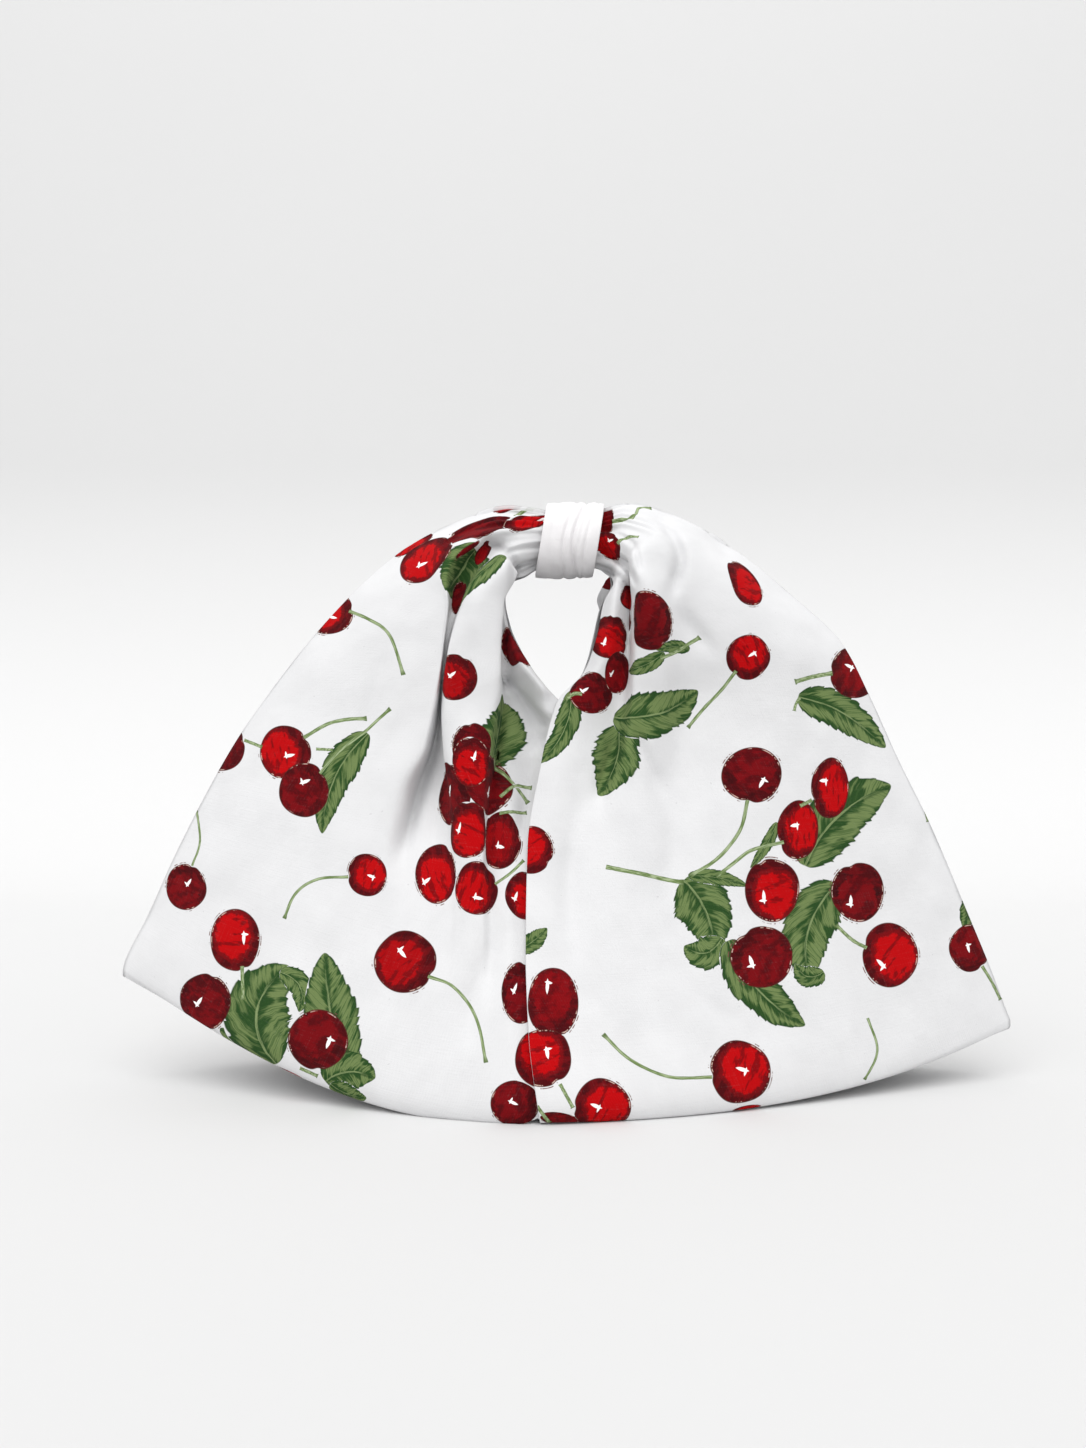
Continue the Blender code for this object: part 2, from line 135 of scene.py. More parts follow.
RIGHT_FRONT_FOLDS = (
    ("rim roll", 0.06, (10, 10, 10, 10, 12, 9, 8, 7, 6, 5), (0, 0, 0, 1, 4, 5, 6, 5, 3, 1)),
    ("groove", 0.13, (24, 24, 28, 38, 36, 22, 17, 15, 13, 11), (0, 0, -2, -5, -7, -7, -5, -5, -4, -1)),
    ("loop edge", 0.19, (38, 38, 42, 48, 44, 26, 20, 17, 15, 15), (0, 0, 1, 3, 5, 8, 12, 10, 2, 1)),
    ("loop crest", 0.29, (64, 62, 61, 60, 58, 38, 29, 24, 21, 19), (0, 0, 2, 4, 7, 13, 19, 19, 4, 1)),
    ("loop back", 0.42, (98, 94, 88, 83, 81, 60, 45, 35, 30, 27), (0, 0, -2, -4, -4, 1, 7, 13, 2, 0)),
    ("side corner", 0.70, (178, 172, 165, 155, 140, 104, 68, 48, 40, 36), (0, 0, 2, 4, 6, 8, 8, 9, 2, 1)),
)
LEAST_REACH = 0.55  # a fold's line is kept within this share of a narrow section, and more further out
FORWARD = 0.75  # share of a fold's rise that goes straight forward near the gather
FORWARD_START = (0.8, 0.9)
LEAN = 0.4  # how much a fold leans towards the band there, as a share of its rise
LEAN_START = (0.91, 0.945)
LEAN_END = (0.958, 0.97)
BACK_FOLD_SHARE = 0.8  # the back's folds are the other half's front ones, this much as high

# ---------------------------------------------------------------- the shown cloth
CLOTH_SHOWN = 1.0  # the shown cloth is thinner than the solid one
# The grid's rows: from and to a share of the way up, and how many rows lie between.
ROW_SPANS = ((0, 0.2, 30), (0.2, 0.3, 14), (0.3, 0.8, 68), (0.8, 0.92, 24), (0.92, 1, 28))
ALONG = np.concatenate([np.linspace(a, b, n, endpoint=False) for a, b, n in ROW_SPANS] + [[1.0]])
FACE_COLUMNS = 120
FINE_COLUMNS = 900  # on which their spacing is measured
EVEN_LEVELS = (0.0, 0.3, 0.5, 0.62, 0.71, 0.8, 0.87, 0.925, 0.95, 1.0)  # columns are spread evenly here

# Unevenness of the cloth: seed, height, longest and shortest wave. It is left out at the base and in
# the gather, where the cloth has strands instead.
WAVES = ((3, 0.9, 90, 26), (8, 0.18, 30, 10))
WAVE_COUNT = 24
WAVE_SHARE = 0.8
WAVES_START = (0.2, 0.4)
WAVES_END = (0.93, 0.99)
STRANDS = 15
STRAND_HEIGHT = 0.8
STRAND_BEND = (2.6, 19)  # size and rate of the change across
STRAND_SWAY = (2, 40)  # and along
STRANDS_START = (0.94, 0.985)

# ---------------------------------------------------------------- camera and the chart's views
PHOTO_SIZE = (1086, 1448)
CAMERA_PLACE = (-14.37, -1023.7, 254.2)
CAMERA_DOWN = math.radians(2.267)
CAMERA_TURN = (math.cos(CAMERA_DOWN), math.sin(CAMERA_DOWN))
LENS = 42.603
SENSOR = 36.0
FOCAL = LENS / SENSOR * PHOTO_SIZE[1]  # in pixels
PIXEL = 0.6  # millimetres for a pixel of the chart, where the cloth faces the view
VIEW_MIDDLE = 543  # the bag's middle in the views from behind and from below, in pixels
VIEW_FLOOR = 1078  # the floor in the view from behind
BACK_START, BELOW_START = 900.0, -500.0  # where the sight lines of these views begin, in millimetres
VIEW_INSIDE = {"front": (580, 900), "back": (543, 900), "below": (543, 543)}  # a pixel well on the bag

# ---------------------------------------------------------------- the print's chart, in the views' pixels
def on_front(panel, rows):
    """Rows for the front of a panel, with their view and panel put before each."""
    return [("front", panel, *row) for row in rows]


# Cherries: centre x y, width, height, dimple x y, tone (0 dark, 1 bright), glint x y (0 0 for none), and
# a tilt in degrees where there is one, positive clockwise.
CHERRIES = on_front("left", (
    (329, 612, 50, 46, 347, 610, .8, 330, 618),
    (285, 752, 52, 54, 304, 739, 1, 290, 757),
    (304, 790, 50, 56, 320, 775, .25, 305, 782),
    (222, 745, 46, 54, 243, 740, .15, 226, 745),
    (186, 887, 40, 48, 192, 866, .25, 188, 884),
    (367, 875, 40, 44, 348, 876, 1, 372, 877),
    (235, 940, 50, 64, 243, 966, 1, 243, 939),
    (205, 1002, 52, 58, 212, 978, .15, 199, 1004),
    (318, 1040, 60, 62, 318, 1068, .2, 329, 1043),
    (405, 962, 62, 64, 430, 975, .55, 401, 951),
    (452, 793, 40, 64, 455, 765, .1, 452, 790),
    (490, 782, 40, 60, 490, 755, .15, 492, 790),
    (453, 677, 50, 47, 463, 660, .55, 452, 675),
    (472, 748, 42, 50, 470, 730, 0, 0, 0),
    (471, 762, 39, 52, 470, 740, .8, 476, 756),
    (503, 840, 36, 58, 519, 836, .5, 502, 846),
    (468, 830, 38, 58, 468, 804, .9, 462, 826),
    (436, 873, 42, 60, 448, 850, .9, 426, 880),
    (477, 888, 44, 54, 495, 883, .85, 478, 896),
    (527, 895, 44, 50, 527, 872, .8, 515, 895),
    (522, 993, 42, 62, 525, 965, .1, 515, 990),
    (515, 1104, 50, 48, 537, 1105, .2, 512, 1103),
    (543, 1058, 58, 60, 559, 1084, .95, 545, 1053),
)) + on_front("right", (
    (530, 850, 48, 48, 548, 862, .9, 0, 0),
    (553, 1003, 52, 72, 560, 1034, .3, 549, 986),
    (543, 1058, 58, 60, 559, 1084, .95, 545, 1053),
    (602, 1108, 58, 60, 577, 1108, .8, 597, 1107),
    (745, 582, 30, 54, 733, 560, .7, 0, 0, -25),
    (748, 657, 44, 46, 737, 672, .9, 752, 656),
    (855, 672, 50, 54, 832, 672, .35, 850, 667),
    (752, 775, 62, 56, 748, 800, .2, 762, 783),
    (830, 788, 38, 62, 813, 800, .9, 822, 780),
    (798, 830, 42, 60, 782, 842, .9, 795, 826),
    (858, 892, 54, 60, 850, 866, 0, 852, 900),
    (762, 957, 62, 64, 745, 934, .2, 750, 962),
    (772, 890, 56, 64, 760, 862, .95, 764, 898),
    (890, 955, 56, 66, 867, 946, .95, 882, 962),
    (740, 1072, 62, 64, 713, 1075, .85, 744, 1068),
    (970, 948, 42, 48, 983, 968, .25, 969, 947),
    (610, 638, 36, 46, 612, 617, .8, 606, 642),
    (592, 693, 44, 42, 604, 674, .2, 586, 690),
    (617, 672, 26, 44, 622, 652, .3, 612, 672),
    (630, 598, 20, 26, 630, 586, .6, 0, 0),
    (649, 620, 50, 60, 660, 640, .05, 0, 0, -8),
    (612, 584, 34, 13, 628, 584, .1, 0, 0, 8),
    (603, 518, 22, 34, 606, 503, .3, 0, 0),
    (608, 547, 34, 25, 617, 536, .7, 612, 542, 30),
)) + on_front("left", (
    (412, 543, 46, 15, 432, 531, .9, 0, 0, -36),
    (482, 532, 72, 21, 512, 517, 0, 0, 0, -26),
    (427, 559, 62, 34, 450, 543, .75, 423, 565, -38),
    (526, 524, 50, 18, 506, 529, .9, 540, 521, -14),
    (509, 507, 34, 11, 524, 504, .6, 0, 0, -12),
    (483, 554, 12, 28, 488, 543, .4, 0, 0, 28),
    (459, 598, 14, 34, 462, 588, 0, 0, 0, 12),
    (515, 645, 30, 46, 508, 628, .15, 0, 0),
    (285, 1077, 30, 10, 270, 1072, .8, 0, 0, 22),
)) + on_front("right", (
    (560, 1120, 40, 16, 545, 1116, .1, 0, 0, 10),
    (748, 1110, 30, 9, 735, 1112, .8, 0, 0, -10),
))
# Leaves: base x y, tip x y, width, bend (share of the length, to the left of base to tip), tone.
LEAVES = on_front("left", (
    (368, 733, 323, 834, 34, -.10, .5),
    (264, 1052, 220, 1028, 30, .1, .2),
    (274, 1066, 290, 966, 70, .24, .35),
    (280, 972, 299, 1012, 24, .28, .5),
    (344, 1074, 325, 952, 56, .02, .5),
    (324, 1082, 376, 1078, 44, .16, .4),
    (330, 1084, 366, 1098, 24, -.1, .2),
    (488, 764, 503, 694, 50, -.12, .4),
    (476, 550, 440, 594, 38, .1, .1),
    (502, 546, 454, 612, 17, .06, .4),
)) + on_front("right", (
    (572, 690, 538, 764, 24, .12, .3),
    (518, 950, 547, 928, 20, -.06, .3),
    (618, 718, 598, 793, 54, .10, .6),
    (612, 716, 700, 690, 46, -.12, .5),
    (662, 652, 622, 672, 16, .1, .3),
    (690, 650, 656, 650, 14, -.1, .3),
    (798, 697, 887, 748, 38, .08, .5),
    (804, 866, 893, 785, 58, .12, .3),
    (683, 880, 714, 950, 56, .10, .3),
    (722, 938, 684, 946, 34, .30, .5),
    (728, 940, 806, 1026, 44, -.10, .2),
    (836, 884, 808, 982, 52, -.14, .4),
    (824, 972, 795, 964, 22, .30, .3),
    (777, 822, 750, 868, 12, .05, .4),
    (688, 876, 748, 886, 16, .05, .5),
))
# Stems: width at the start, then the points of its line.
STEMS = on_front("left", (
    (4.5, ((347, 610), (370, 620), (390, 635), (402, 674))),
    (5, ((304, 738), (325, 725), (345, 720), (366, 718))),
    (4.5, ((320, 774), (340, 752), (368, 728), (392, 709))),
    (4, ((316, 749), (333, 750))),
    (4.5, ((244, 740), (262, 747))),
    (3, ((192, 866), (200, 842), (197, 810))),
    (4, ((348, 877), (318, 879), (296, 893), (284, 919))),
    (5, ((242, 966), (243, 1000))),
    (4.5, ((428, 976), (455, 988), (477, 1020), (487, 1063))),
    (5, ((488, 757), (505, 775), (530, 803))),
    (4.5, ((500, 797), (515, 786), (532, 788))),
    (4.5, ((500, 813), (528, 812))),
    (4, ((495, 884), (510, 874), (524, 860))),
    (5, ((513, 515), (530, 506), (552, 503))),
    (5, ((300, 1068), (318, 1076))),
)) + on_front("right", (
    (5, ((560, 1084), (573, 1108))),
    (5, ((537, 1106), (550, 1124))),
    (4.5, ((736, 671), (722, 690), (705, 708), (688, 728))),
    (6, ((833, 673), (812, 677), (795, 682))),
    (4, ((800, 698), (796, 703), (794, 711))),
    (5, ((747, 800), (740, 830), (718, 858), (690, 876))),
    (5, ((812, 800), (800, 806))),
    (5, ((784, 842), (752, 850), (735, 862), (716, 877))),
    (6, ((606, 867), (640, 874), (684, 883))),
    (5, ((867, 948), (852, 940), (836, 925))),
    (4.5, ((713, 1077), (668, 1077), (630, 1060), (603, 1034))),
    (3.5, ((868, 1018), (877, 1050), (865, 1080))),
    (4.5, ((982, 966), (992, 982), (1001, 1000))),
    (5, ((660, 658), (680, 650), (700, 637))),
    (4, ((612, 521), (632, 519), (640, 508), (652, 507))),
    (4, ((618, 544), (628, 538), (640, 538))),
    (3, ((922, 798), (925, 810), (928, 822))),
    (5, ((582, 694), (574, 694), (566, 700))),
))

# Sprigs for the back and the base, as cherries, leaves and stems about a middle, in the same columns.
SPRIGS = {
    "pair": (
        ((-26, -4, 48, 52, -8, -20, .9, -30, 2), (20, 18, 50, 48, 10, -2, .2, 24, 12)),
        ((2, -56, 62, -8, 36, .08, .4),),
        ((4.5, ((-8, -20), (-4, -42), (2, -58))), (4.5, ((10, -2), (10, -30), (2, -58)))),
    ),
    "trio": (
        ((-44, 20, 54, 58, -34, -4, .2, -50, 16), (4, 44, 56, 58, 4, 18, .95, 8, 38),
         (50, 8, 46, 56, 36, -10, .8, 54, 4)),
        ((-2, -46, -72, -30, 42, -.1, .3), (2, -48, 62, -70, 40, .12, .5), (-6, -42, -26, 10, 30, .2, .3)),
        ((5, ((-34, -4), (-22, -30), (0, -46))), (5, ((4, 18), (6, -14), (0, -46))),
         (5, ((36, -10), (22, -34), (0, -46))), (6, ((0, -46), (10, -70), (32, -92)))),
    ),
    "single": (((0, 0, 50, 54, 4, -22, .3, -6, -4),), (), ((4, ((4, -22), (12, -46), (40, -66))),)),
    "bright": (((0, 0, 52, 50, -20, -8, 1, 6, -6),), (), ((4, ((-20, -8), (-44, -20), (-62, -2))),)),
    "leafy": ((), ((0, 0, 66, 22, 40, .1, .5), (-6, 2, -34, 52, 36, -.12, .2)),
              ((5, ((-3, 0), (-14, -16), (-18, -34))),)),
}
# Where they lie, by view and panel: the sprig, x y of its middle, turn in degrees.
SPRIG_PLACES = (
    ("back", "right", (
        ("trio", 300, 850, 0), ("pair", 410, 720, 25), ("single", 250, 1005, 160), ("bright", 330, 690, 30),
        ("leafy", 190, 930, 70), ("pair", 430, 960, -35), ("single", 480, 830, 15), ("leafy", 360, 1030, -30),
        ("bright", 430, 600, 60), ("single", 500, 1050, 200))),
    ("back", "left", (
        ("trio", 720, 900, 30), ("pair", 640, 745, -20), ("bright", 800, 760, 10), ("single", 610, 1010, 0),
        ("leafy", 740, 690, 100), ("single", 860, 935, 60), ("bright", 580, 880, 120),
        ("pair", 790, 1020, 200), ("single", 680, 600, 50), ("leafy", 650, 1100, 10))),
    ("below", "left", (("bright", 400, 560, 20), ("single", 290, 600, 120), ("leafy", 470, 480, 80))),
    ("below", "right", (("pair", 660, 560, 70), ("bright", 770, 520, 200), ("single", 580, 640, 250))),
)


def add_sprig(chart, view, panel, sprig, x, y, turn):
    """Adds a sprig's cherries, leaves and stems, turned and moved to its place, to the chart's rows."""
    c, s = math.cos(math.radians(turn)), math.sin(math.radians(turn))

    def place(px, py):
        return x + px * c - py * s, y + px * s + py * c

    cherries, leaves, stems = SPRIGS[sprig]
    for cx, cy, width, height, dimple_x, dimple_y, tone, glint_x, glint_y in cherries:
        chart["cherry"].append((view, panel, *place(cx, cy), width, height, *place(dimple_x, dimple_y), tone,
                                *place(glint_x, glint_y), turn))
    for base_x, base_y, tip_x, tip_y, *rest in leaves:
        chart["leaf"].append((view, panel, *place(base_x, base_y), *place(tip_x, tip_y), *rest))
    for width, points in stems:
        chart["stem"].append((view, panel, width, [place(*point) for point in points]))


def whole_chart():
    """All rows by kind. A row's number also varies its brushwork, so the order of rows matters."""
    chart = {"leaf": list(LEAVES), "cherry": list(CHERRIES), "stem": list(STEMS)}
    for view, panel, places in SPRIG_PLACES:
        for sprig in places:
            add_sprig(chart, view, panel, *sprig)
    return chart


# Creases of the front: depth in mm (a ridge where negative), shift to the right in mm, half width in mm,
# share that fades at each end, then the points of the line in the view's pixels.
LEFT_CREASES = (
    (-5, 0, 4, .25, ((449, 570), (447, 610), (444, 650), (441, 700))),
    (8, -1.5, 4, .25, ((446, 640), (443, 690), (436, 732), (426, 770), (414, 812), (396, 870))),
    (7, 0, 7, .30, ((430, 720), (420, 770), (408, 820), (396, 890))),
    (8, 0, 9, .35, ((444, 710), (442, 750), (436, 800), (428, 870))),
    (-2, 7, 9, .20, ((428, 560), (430, 610), (430, 655), (426, 700), (414, 745), (402, 790))),
    (0, -3, 6, .25, ((456, 600), (454, 650), (450, 700), (452, 745), (458, 800))),
    (5, 0, 2.6, .25, ((508, 600), (506, 680), (499, 720), (494, 765), (488, 815))),
    (10, 0, 3.4, .12, ((503, 674), (520, 696), (535, 714), (550, 730))),
    (-5, 0, 5, .25, ((506, 640), (524, 668), (552, 702))),
    (8, 0, 6, .15, ((504, 694), (520, 712), (535, 728), (546, 752))),
    (8, 0, 10, .30, ((530, 706), (532, 750), (532, 800), (530, 850))),
    (5, 0, 7, .30, ((506, 740), (517, 772), (524, 800), (524, 850))),
    (5, 0, 2.4, .15, ((470, 536), (492, 543), (509, 555), (514, 572), (511, 596))),
    (4, 0, 2, .15, ((440, 562), (448, 545), (462, 533), (486, 527), (515, 524))),
    (2.5, 0, 1.6, .15, ((506, 552), (524, 548), (548, 546))),
    (2.5, 0, 1.6, .15, ((512, 566), (530, 563), (550, 562))),
    (-2, 0, 2.2, .15, ((500, 541), (520, 537), (548, 536))),
    (3, 0, 1.8, .15, ((470, 512), (500, 512), (548, 514))),
    (2, 0, 5, .40, ((396, 610), (384, 660), (366, 720), (350, 790))),
    (-1.8, 0, 6, .40, ((410, 640), (398, 700), (378, 760))),
    (1.5, 0, 4, .40, ((460, 590), (470, 640), (468, 700), (462, 750))),
    (1.5, 0, 6, .40, ((330, 700), (310, 780), (300, 860))),
    (2, 0, 7, .40, ((396, 880), (384, 930), (390, 990), (384, 1040))),
    (-1.2, 0, 6, .40, ((424, 900), (418, 950), (424, 1010))),
    (3, 0, 7, .35, ((500, 900), (488, 960), (470, 1010), (474, 1060))),
)
RIGHT_CREASES = (
    (3, 0, 7, .40, ((584, 780), (572, 850), (570, 920), (578, 990))),
    (1.6, 0, 7, .40, ((655, 730), (668, 790), (672, 850), (664, 920))),
    (1.6, 0, 8, .40, ((800, 640), (812, 690), (806, 750), (815, 800))),
    (1.4, 0, 7, .40, ((640, 930), (700, 1000), (770, 1040))),
    (5, 0, 5, .35, ((624, 718), (618, 745), (606, 780), (598, 830))),
    (4, 0, 4, .35, ((628, 722), (640, 745), (652, 772), (668, 800))),
    (-2, 0, 5, .35, ((622, 722), (628, 750), (630, 790))),
    (8, 0, 3.6, .30, ((652, 508), (668, 528), (680, 552), (676, 580), (664, 604))),
    (3, 0, 3.5, .40, ((704, 520), (716, 540), (738, 566))),
    (3.5, 0, 5, .40, ((672, 600), (690, 625), (720, 660))),
    (6.5, 0, 2.2, .15, ((598, 566), (612, 572), (626, 584), (634, 604), (632, 636))),
    (5, 0, 1.8, .15, ((596, 546), (612, 556), (630, 572), (637, 590))),
    (2.5, 0, 1.8, .15, ((596, 526), (614, 532), (634, 545), (642, 575))),
    (2.5, 0, 2.2, .20, ((606, 636), (622, 640), (632, 648))),
)


# ---------------------------------------------------------------- functions of the source
def smooth(at, knots, values):
    """Values at the given places, on a smooth curve through the knots that never overshoots them."""
    at = np.clip(np.asarray(at, float), knots[0], knots[-1])
    knots = np.asarray(knots, float)
    values = np.asarray(values, float)
    step = np.diff(knots)
    slope = np.diff(values) / step
    before, after = slope[:-1], slope[1:]
    same_way = before * after > 0
    mean = np.where(same_way, 2 * before * after / np.where(same_way, before + after, 1), 0)
    tangent = np.concatenate([[slope[0]], mean, [slope[-1]]])
    i = np.clip(np.searchsorted(knots, at, "right") - 1, 0, len(step) - 1)
    s = (at - knots[i]) / step[i]
    start, end = values[i], values[i + 1]
    lean = step[i] * ((1 - s) ** 2 * s * tangent[i] - s**2 * (1 - s) * tangent[i + 1])
    return start + (end - start) * s * s * (3 - 2 * s) + lean


def ramp(at, ends):
    """0 before the first end, 1 after the second, eased between them."""
    start, end = ends
    s = np.clip((np.asarray(at, float) - start) / (end - start), 0, 1)
    return s * s * (3 - 2 * s)


def sections_at(table, along, back):
    """The table's columns at the given shares of the way up, as a dictionary of arrays."""
    columns = list(zip(*table))
    found = {name: smooth(along, columns[0], column) for name, column in zip(SECTION_COLUMNS, columns)}
    if back:
        found["edge_x"] = found["edge_x"] + BACK_SEAM_SHIFT * (1 - ramp(along, BACK_SHIFT_END))
        drop = ramp(along, BACK_DROP_START) * (1 - ramp(along, BACK_DROP_END))
        found["edge_z"] = found["edge_z"] - BACK_DROP * drop
    return found


def lapped_sections(table, along, back, under, toward):
    """Sections whose inner edge is moved towards the other half where this panel lies under it."""
    found = sections_at(table, along, back)
    meet = 1 - ramp(along, BASE_MEET)
    lap = (1 - meet) * (1 - ramp(along, LAP_END))
    found["edge_x"] = found["edge_x"] + toward * (LAP * lap * under - SEAM_GAP / 2 * meet)
    return found


def plain_point(s, share):
    """Points of the plain sections s at the given shares of their width."""
    t = share
    ease_in = 3 * t * (1 - t) ** 2
    ease_out = 3 * t * t * (1 - t)
    x = s["edge_x"] + (s["side_x"] - s["edge_x"]) * t
    y = s["edge_y"] * (1 - t) - s["swell_in"] * ease_in - s["swell_out"] * ease_out
    z = s["edge_z"] + (s["side_z"] - s["edge_z"]) * t - s["drop_in"] * ease_in - s["drop_out"] * ease_out
    return np.stack([x, y, z], axis=-1)


def fold_profile(folds, across, along, width, edge_out):
    """Inset and rise of the folds' cross-section, as two grids of rows by columns.

    edge_out tells how far out the inner edge lies. A fold's line is smooth in space, so it is the sum of
    inset and edge_out that is smoothed.
    """
    marks = [0.0] + [fold[1] for fold in folds] + [1.0]
    level_out = edge_out(np.array(FOLD_LEVELS))
    out = edge_out(np.clip(along, FOLD_LEVELS[0], FOLD_LEVELS[-1]))
    inset = [smooth(along, FOLD_LEVELS, fold[2] + level_out) - out for fold in folds]
    inset = [np.zeros_like(along)] + inset + [width]
    rise = [smooth(along, FOLD_LEVELS, fold[3]) for fold in folds]
    rise = [np.zeros_like(along)] + rise + [np.zeros_like(along)]
    inset, rise = np.array(inset).T, np.array(rise).T
    full_width = np.interp(GATHER_LEVEL, along, width)
    narrowed = np.where(along > GATHER_LEVEL, width / full_width, 1)
    inset[:, :-1] *= narrowed[:, None]
    inset = np.minimum(inset, width[:, None] * (LEAST_REACH + (1 - LEAST_REACH) * np.array(marks)))
    inset = np.array([smooth(across, marks, row) for row in inset])
    rise = np.array([smooth(across, marks, row) for row in rise])
    folded = ramp(along, FOLD_START)[:, None]
    inset = inset * folded + across[None, :] * width[:, None] * (1 - folded)
    gathered = 1 - GATHER_CALM * ramp(along, (GATHER_LEVEL, 1))[:, None]
    return inset, rise * folded * gathered


def face_points(table, folds, share, back, under, toward, across, along):
    """Outer surface of a panel's front, or of its back before it is mirrored: rows by columns."""
    def plain(t, at):
        s = lapped_sections(table, at, back, under, toward)
        return plain_point({name: value[:, None] for name, value in s.items()}, t)

    s = lapped_sections(table, along, back, under, toward)
    width = np.sqrt((s["side_x"] - s["edge_x"]) ** 2 + s["edge_y"] ** 2 + (s["side_z"] - s["edge_z"]) ** 2)
    inset, rise = fold_profile(
        folds, across, along, width,
        lambda at: -toward * lapped_sections(table, at, back, under, toward)["edge_x"],
    )
    t = inset / width[:, None]
    step = 1e-3
    across_way = plain(t + step, along) - plain(t - step, along)
    up = np.clip(along + step, 0, 1)
    down = np.clip(along - step, 0, 1)
    normal = np.cross(across_way, plain(t, up) - plain(t, down))
    normal *= -toward / np.linalg.norm(normal, axis=-1, keepdims=True)
    forward = FORWARD * ramp(along, FORWARD_START)[:, None, None]
    lean = LEAN * toward * ramp(along, LEAN_START) * (1 - ramp(along, LEAN_END))
    ahead = np.stack([lean, -np.ones_like(lean), np.zeros_like(lean)], axis=-1)[:, None]
    normal = normal * (1 - forward) + ahead * forward
    tuck = (CLOTH + GAP) * under * (1 - ramp(inset, UNDER_REACH))
    tuck = tuck * (ramp(along, UNDER_START) * (1 - ramp(along, UNDER_END)))[:, None]
    points = plain(t, along) + normal * (rise * share - tuck)[..., None]
    points[..., 2] = np.maximum(points[..., 2], tuck * (along < BASE_TOP)[:, None])
    return points


def panel_grid(left, across, along):
    """Outer surface of a whole panel, from its front edge round the side to its back edge."""
    table = LEFT_SECTIONS if left else RIGHT_SECTIONS
    front_folds = LEFT_FRONT_FOLDS if left else RIGHT_FRONT_FOLDS
    back_folds = RIGHT_FRONT_FOLDS if left else LEFT_FRONT_FOLDS
    toward = 1 if left else -1  # the way from this panel to the other, along x
    front = face_points(table, front_folds, 1.0, False, float(left), toward, across, along)
    back = face_points(table, back_folds, BACK_FOLD_SHARE, True, float(not left), toward, across, along)
    middle = (front[0] + back[0]) / 2
    front[0] = middle
    back[0] = middle
    back[..., 1] *= -1
    return np.concatenate([front, back[:, -2::-1]], axis=1)


# ---------------------------------------------------------------- fine grids
def unit(vectors):
    return vectors / np.maximum(np.linalg.norm(vectors, axis=-1, keepdims=True), 1e-12)


def corners(grid):
    """The four corners of each face of a grid, one after another round the face."""
    return np.stack([grid[:-1, :-1], grid[:-1, 1:], grid[1:, 1:], grid[1:, :-1]], axis=2)


def way_along(points):
    """Length of the way along each row of points, from its first one."""
    step = np.linalg.norm(np.diff(points, axis=-2), axis=-1)
    return np.concatenate([np.zeros(step.shape[:-1] + (1,)), np.cumsum(step, axis=-1)], axis=-1)


def outward(grid, left):
    """Normals of an outer grid, out of the bag."""
    below = grid[1, ::-1]
    upward = np.gradient(np.concatenate([below[None], grid]), axis=0)[1:]
    return unit(np.cross(np.gradient(grid, axis=1), upward)) * (-1 if left else 1)


def soft_noise(points, seed, waves, longest, shortest):
    """Smooth noise of about -1 to 1 at points in space, out of a few long waves."""
    rng = np.random.default_rng(seed)
    total = np.zeros(points.shape[:-1])
    for _ in range(waves):
        length = np.exp(rng.uniform(np.log(shortest), np.log(longest)))
        way = unit(rng.normal(size=3)) * 2 * np.pi / length
        total += np.sin(points @ way + rng.uniform(0, 2 * np.pi)) * (length / longest) ** 0.5
    return total / np.sqrt(waves)


def even_columns(left, count):
    """Shares across a face, spread so that no level has wide gaps between its columns."""
    fine = np.linspace(0, 1, FINE_COLUMNS)
    grid = panel_grid(left, fine, np.array(EVEN_LEVELS))[:, :len(fine)]
    steps = np.linalg.norm(np.diff(grid, axis=1), axis=-1)
    share = (steps / steps.sum(axis=1, keepdims=True)).max(axis=0)
    length = np.concatenate([[0], np.cumsum(share)])
    return np.interp(np.linspace(0, length[-1], count), length, fine)


# ---------------------------------------------------------------- the chart's views
def view_ray(view, x, y):
    """Start and direction, in millimetres, of the sight line through a pixel of one of the chart's views."""
    if view == "front":
        side, rise = (x - PHOTO_SIZE[0] / 2) / FOCAL, (PHOTO_SIZE[1] / 2 - y) / FOCAL
        c, s = CAMERA_TURN
        return np.array(CAMERA_PLACE), np.array((side, c + rise * s, rise * c - s))
    across = (x - VIEW_MIDDLE) * PIXEL
    if view == "back":
        return np.array((-across, BACK_START, (VIEW_FLOOR - y) * PIXEL)), np.array((0.0, -1.0, 0.0))
    return np.array((across, (y - VIEW_MIDDLE) * PIXEL, BELOW_START)), np.array((0.0, 0.0, 1.0))


def view_pixels(view, points):
    """Where points in space are seen in one of the chart's views."""
    if view == "front":
        x, y, z = np.moveaxis(points - CAMERA_PLACE, -1, 0)
        c, s = CAMERA_TURN
        ahead, rise = y * c - z * s, y * s + z * c
        return np.stack([PHOTO_SIZE[0] / 2 + x / ahead * FOCAL, PHOTO_SIZE[1] / 2 - rise / ahead * FOCAL], -1)
    x, y, z = np.moveaxis(points, -1, 0)
    if view == "back":
        return np.stack([VIEW_MIDDLE - x / PIXEL, VIEW_FLOOR - z / PIXEL], -1)
    return np.stack([VIEW_MIDDLE + x / PIXEL, VIEW_MIDDLE + y / PIXEL], -1)


def curve(at, values):
    """A smooth curve through evenly spaced values, which may overshoot them a little."""
    slope = np.gradient(values)
    i = np.clip(at.astype(int), 0, len(values) - 2)
    t = at - i
    return ((2 * t**3 - 3 * t**2 + 1) * values[i] + (t**3 - 2 * t**2 + t) * slope[i]
            + (3 * t**2 - 2 * t**3) * values[i + 1] + (t**3 - t**2) * slope[i + 1])


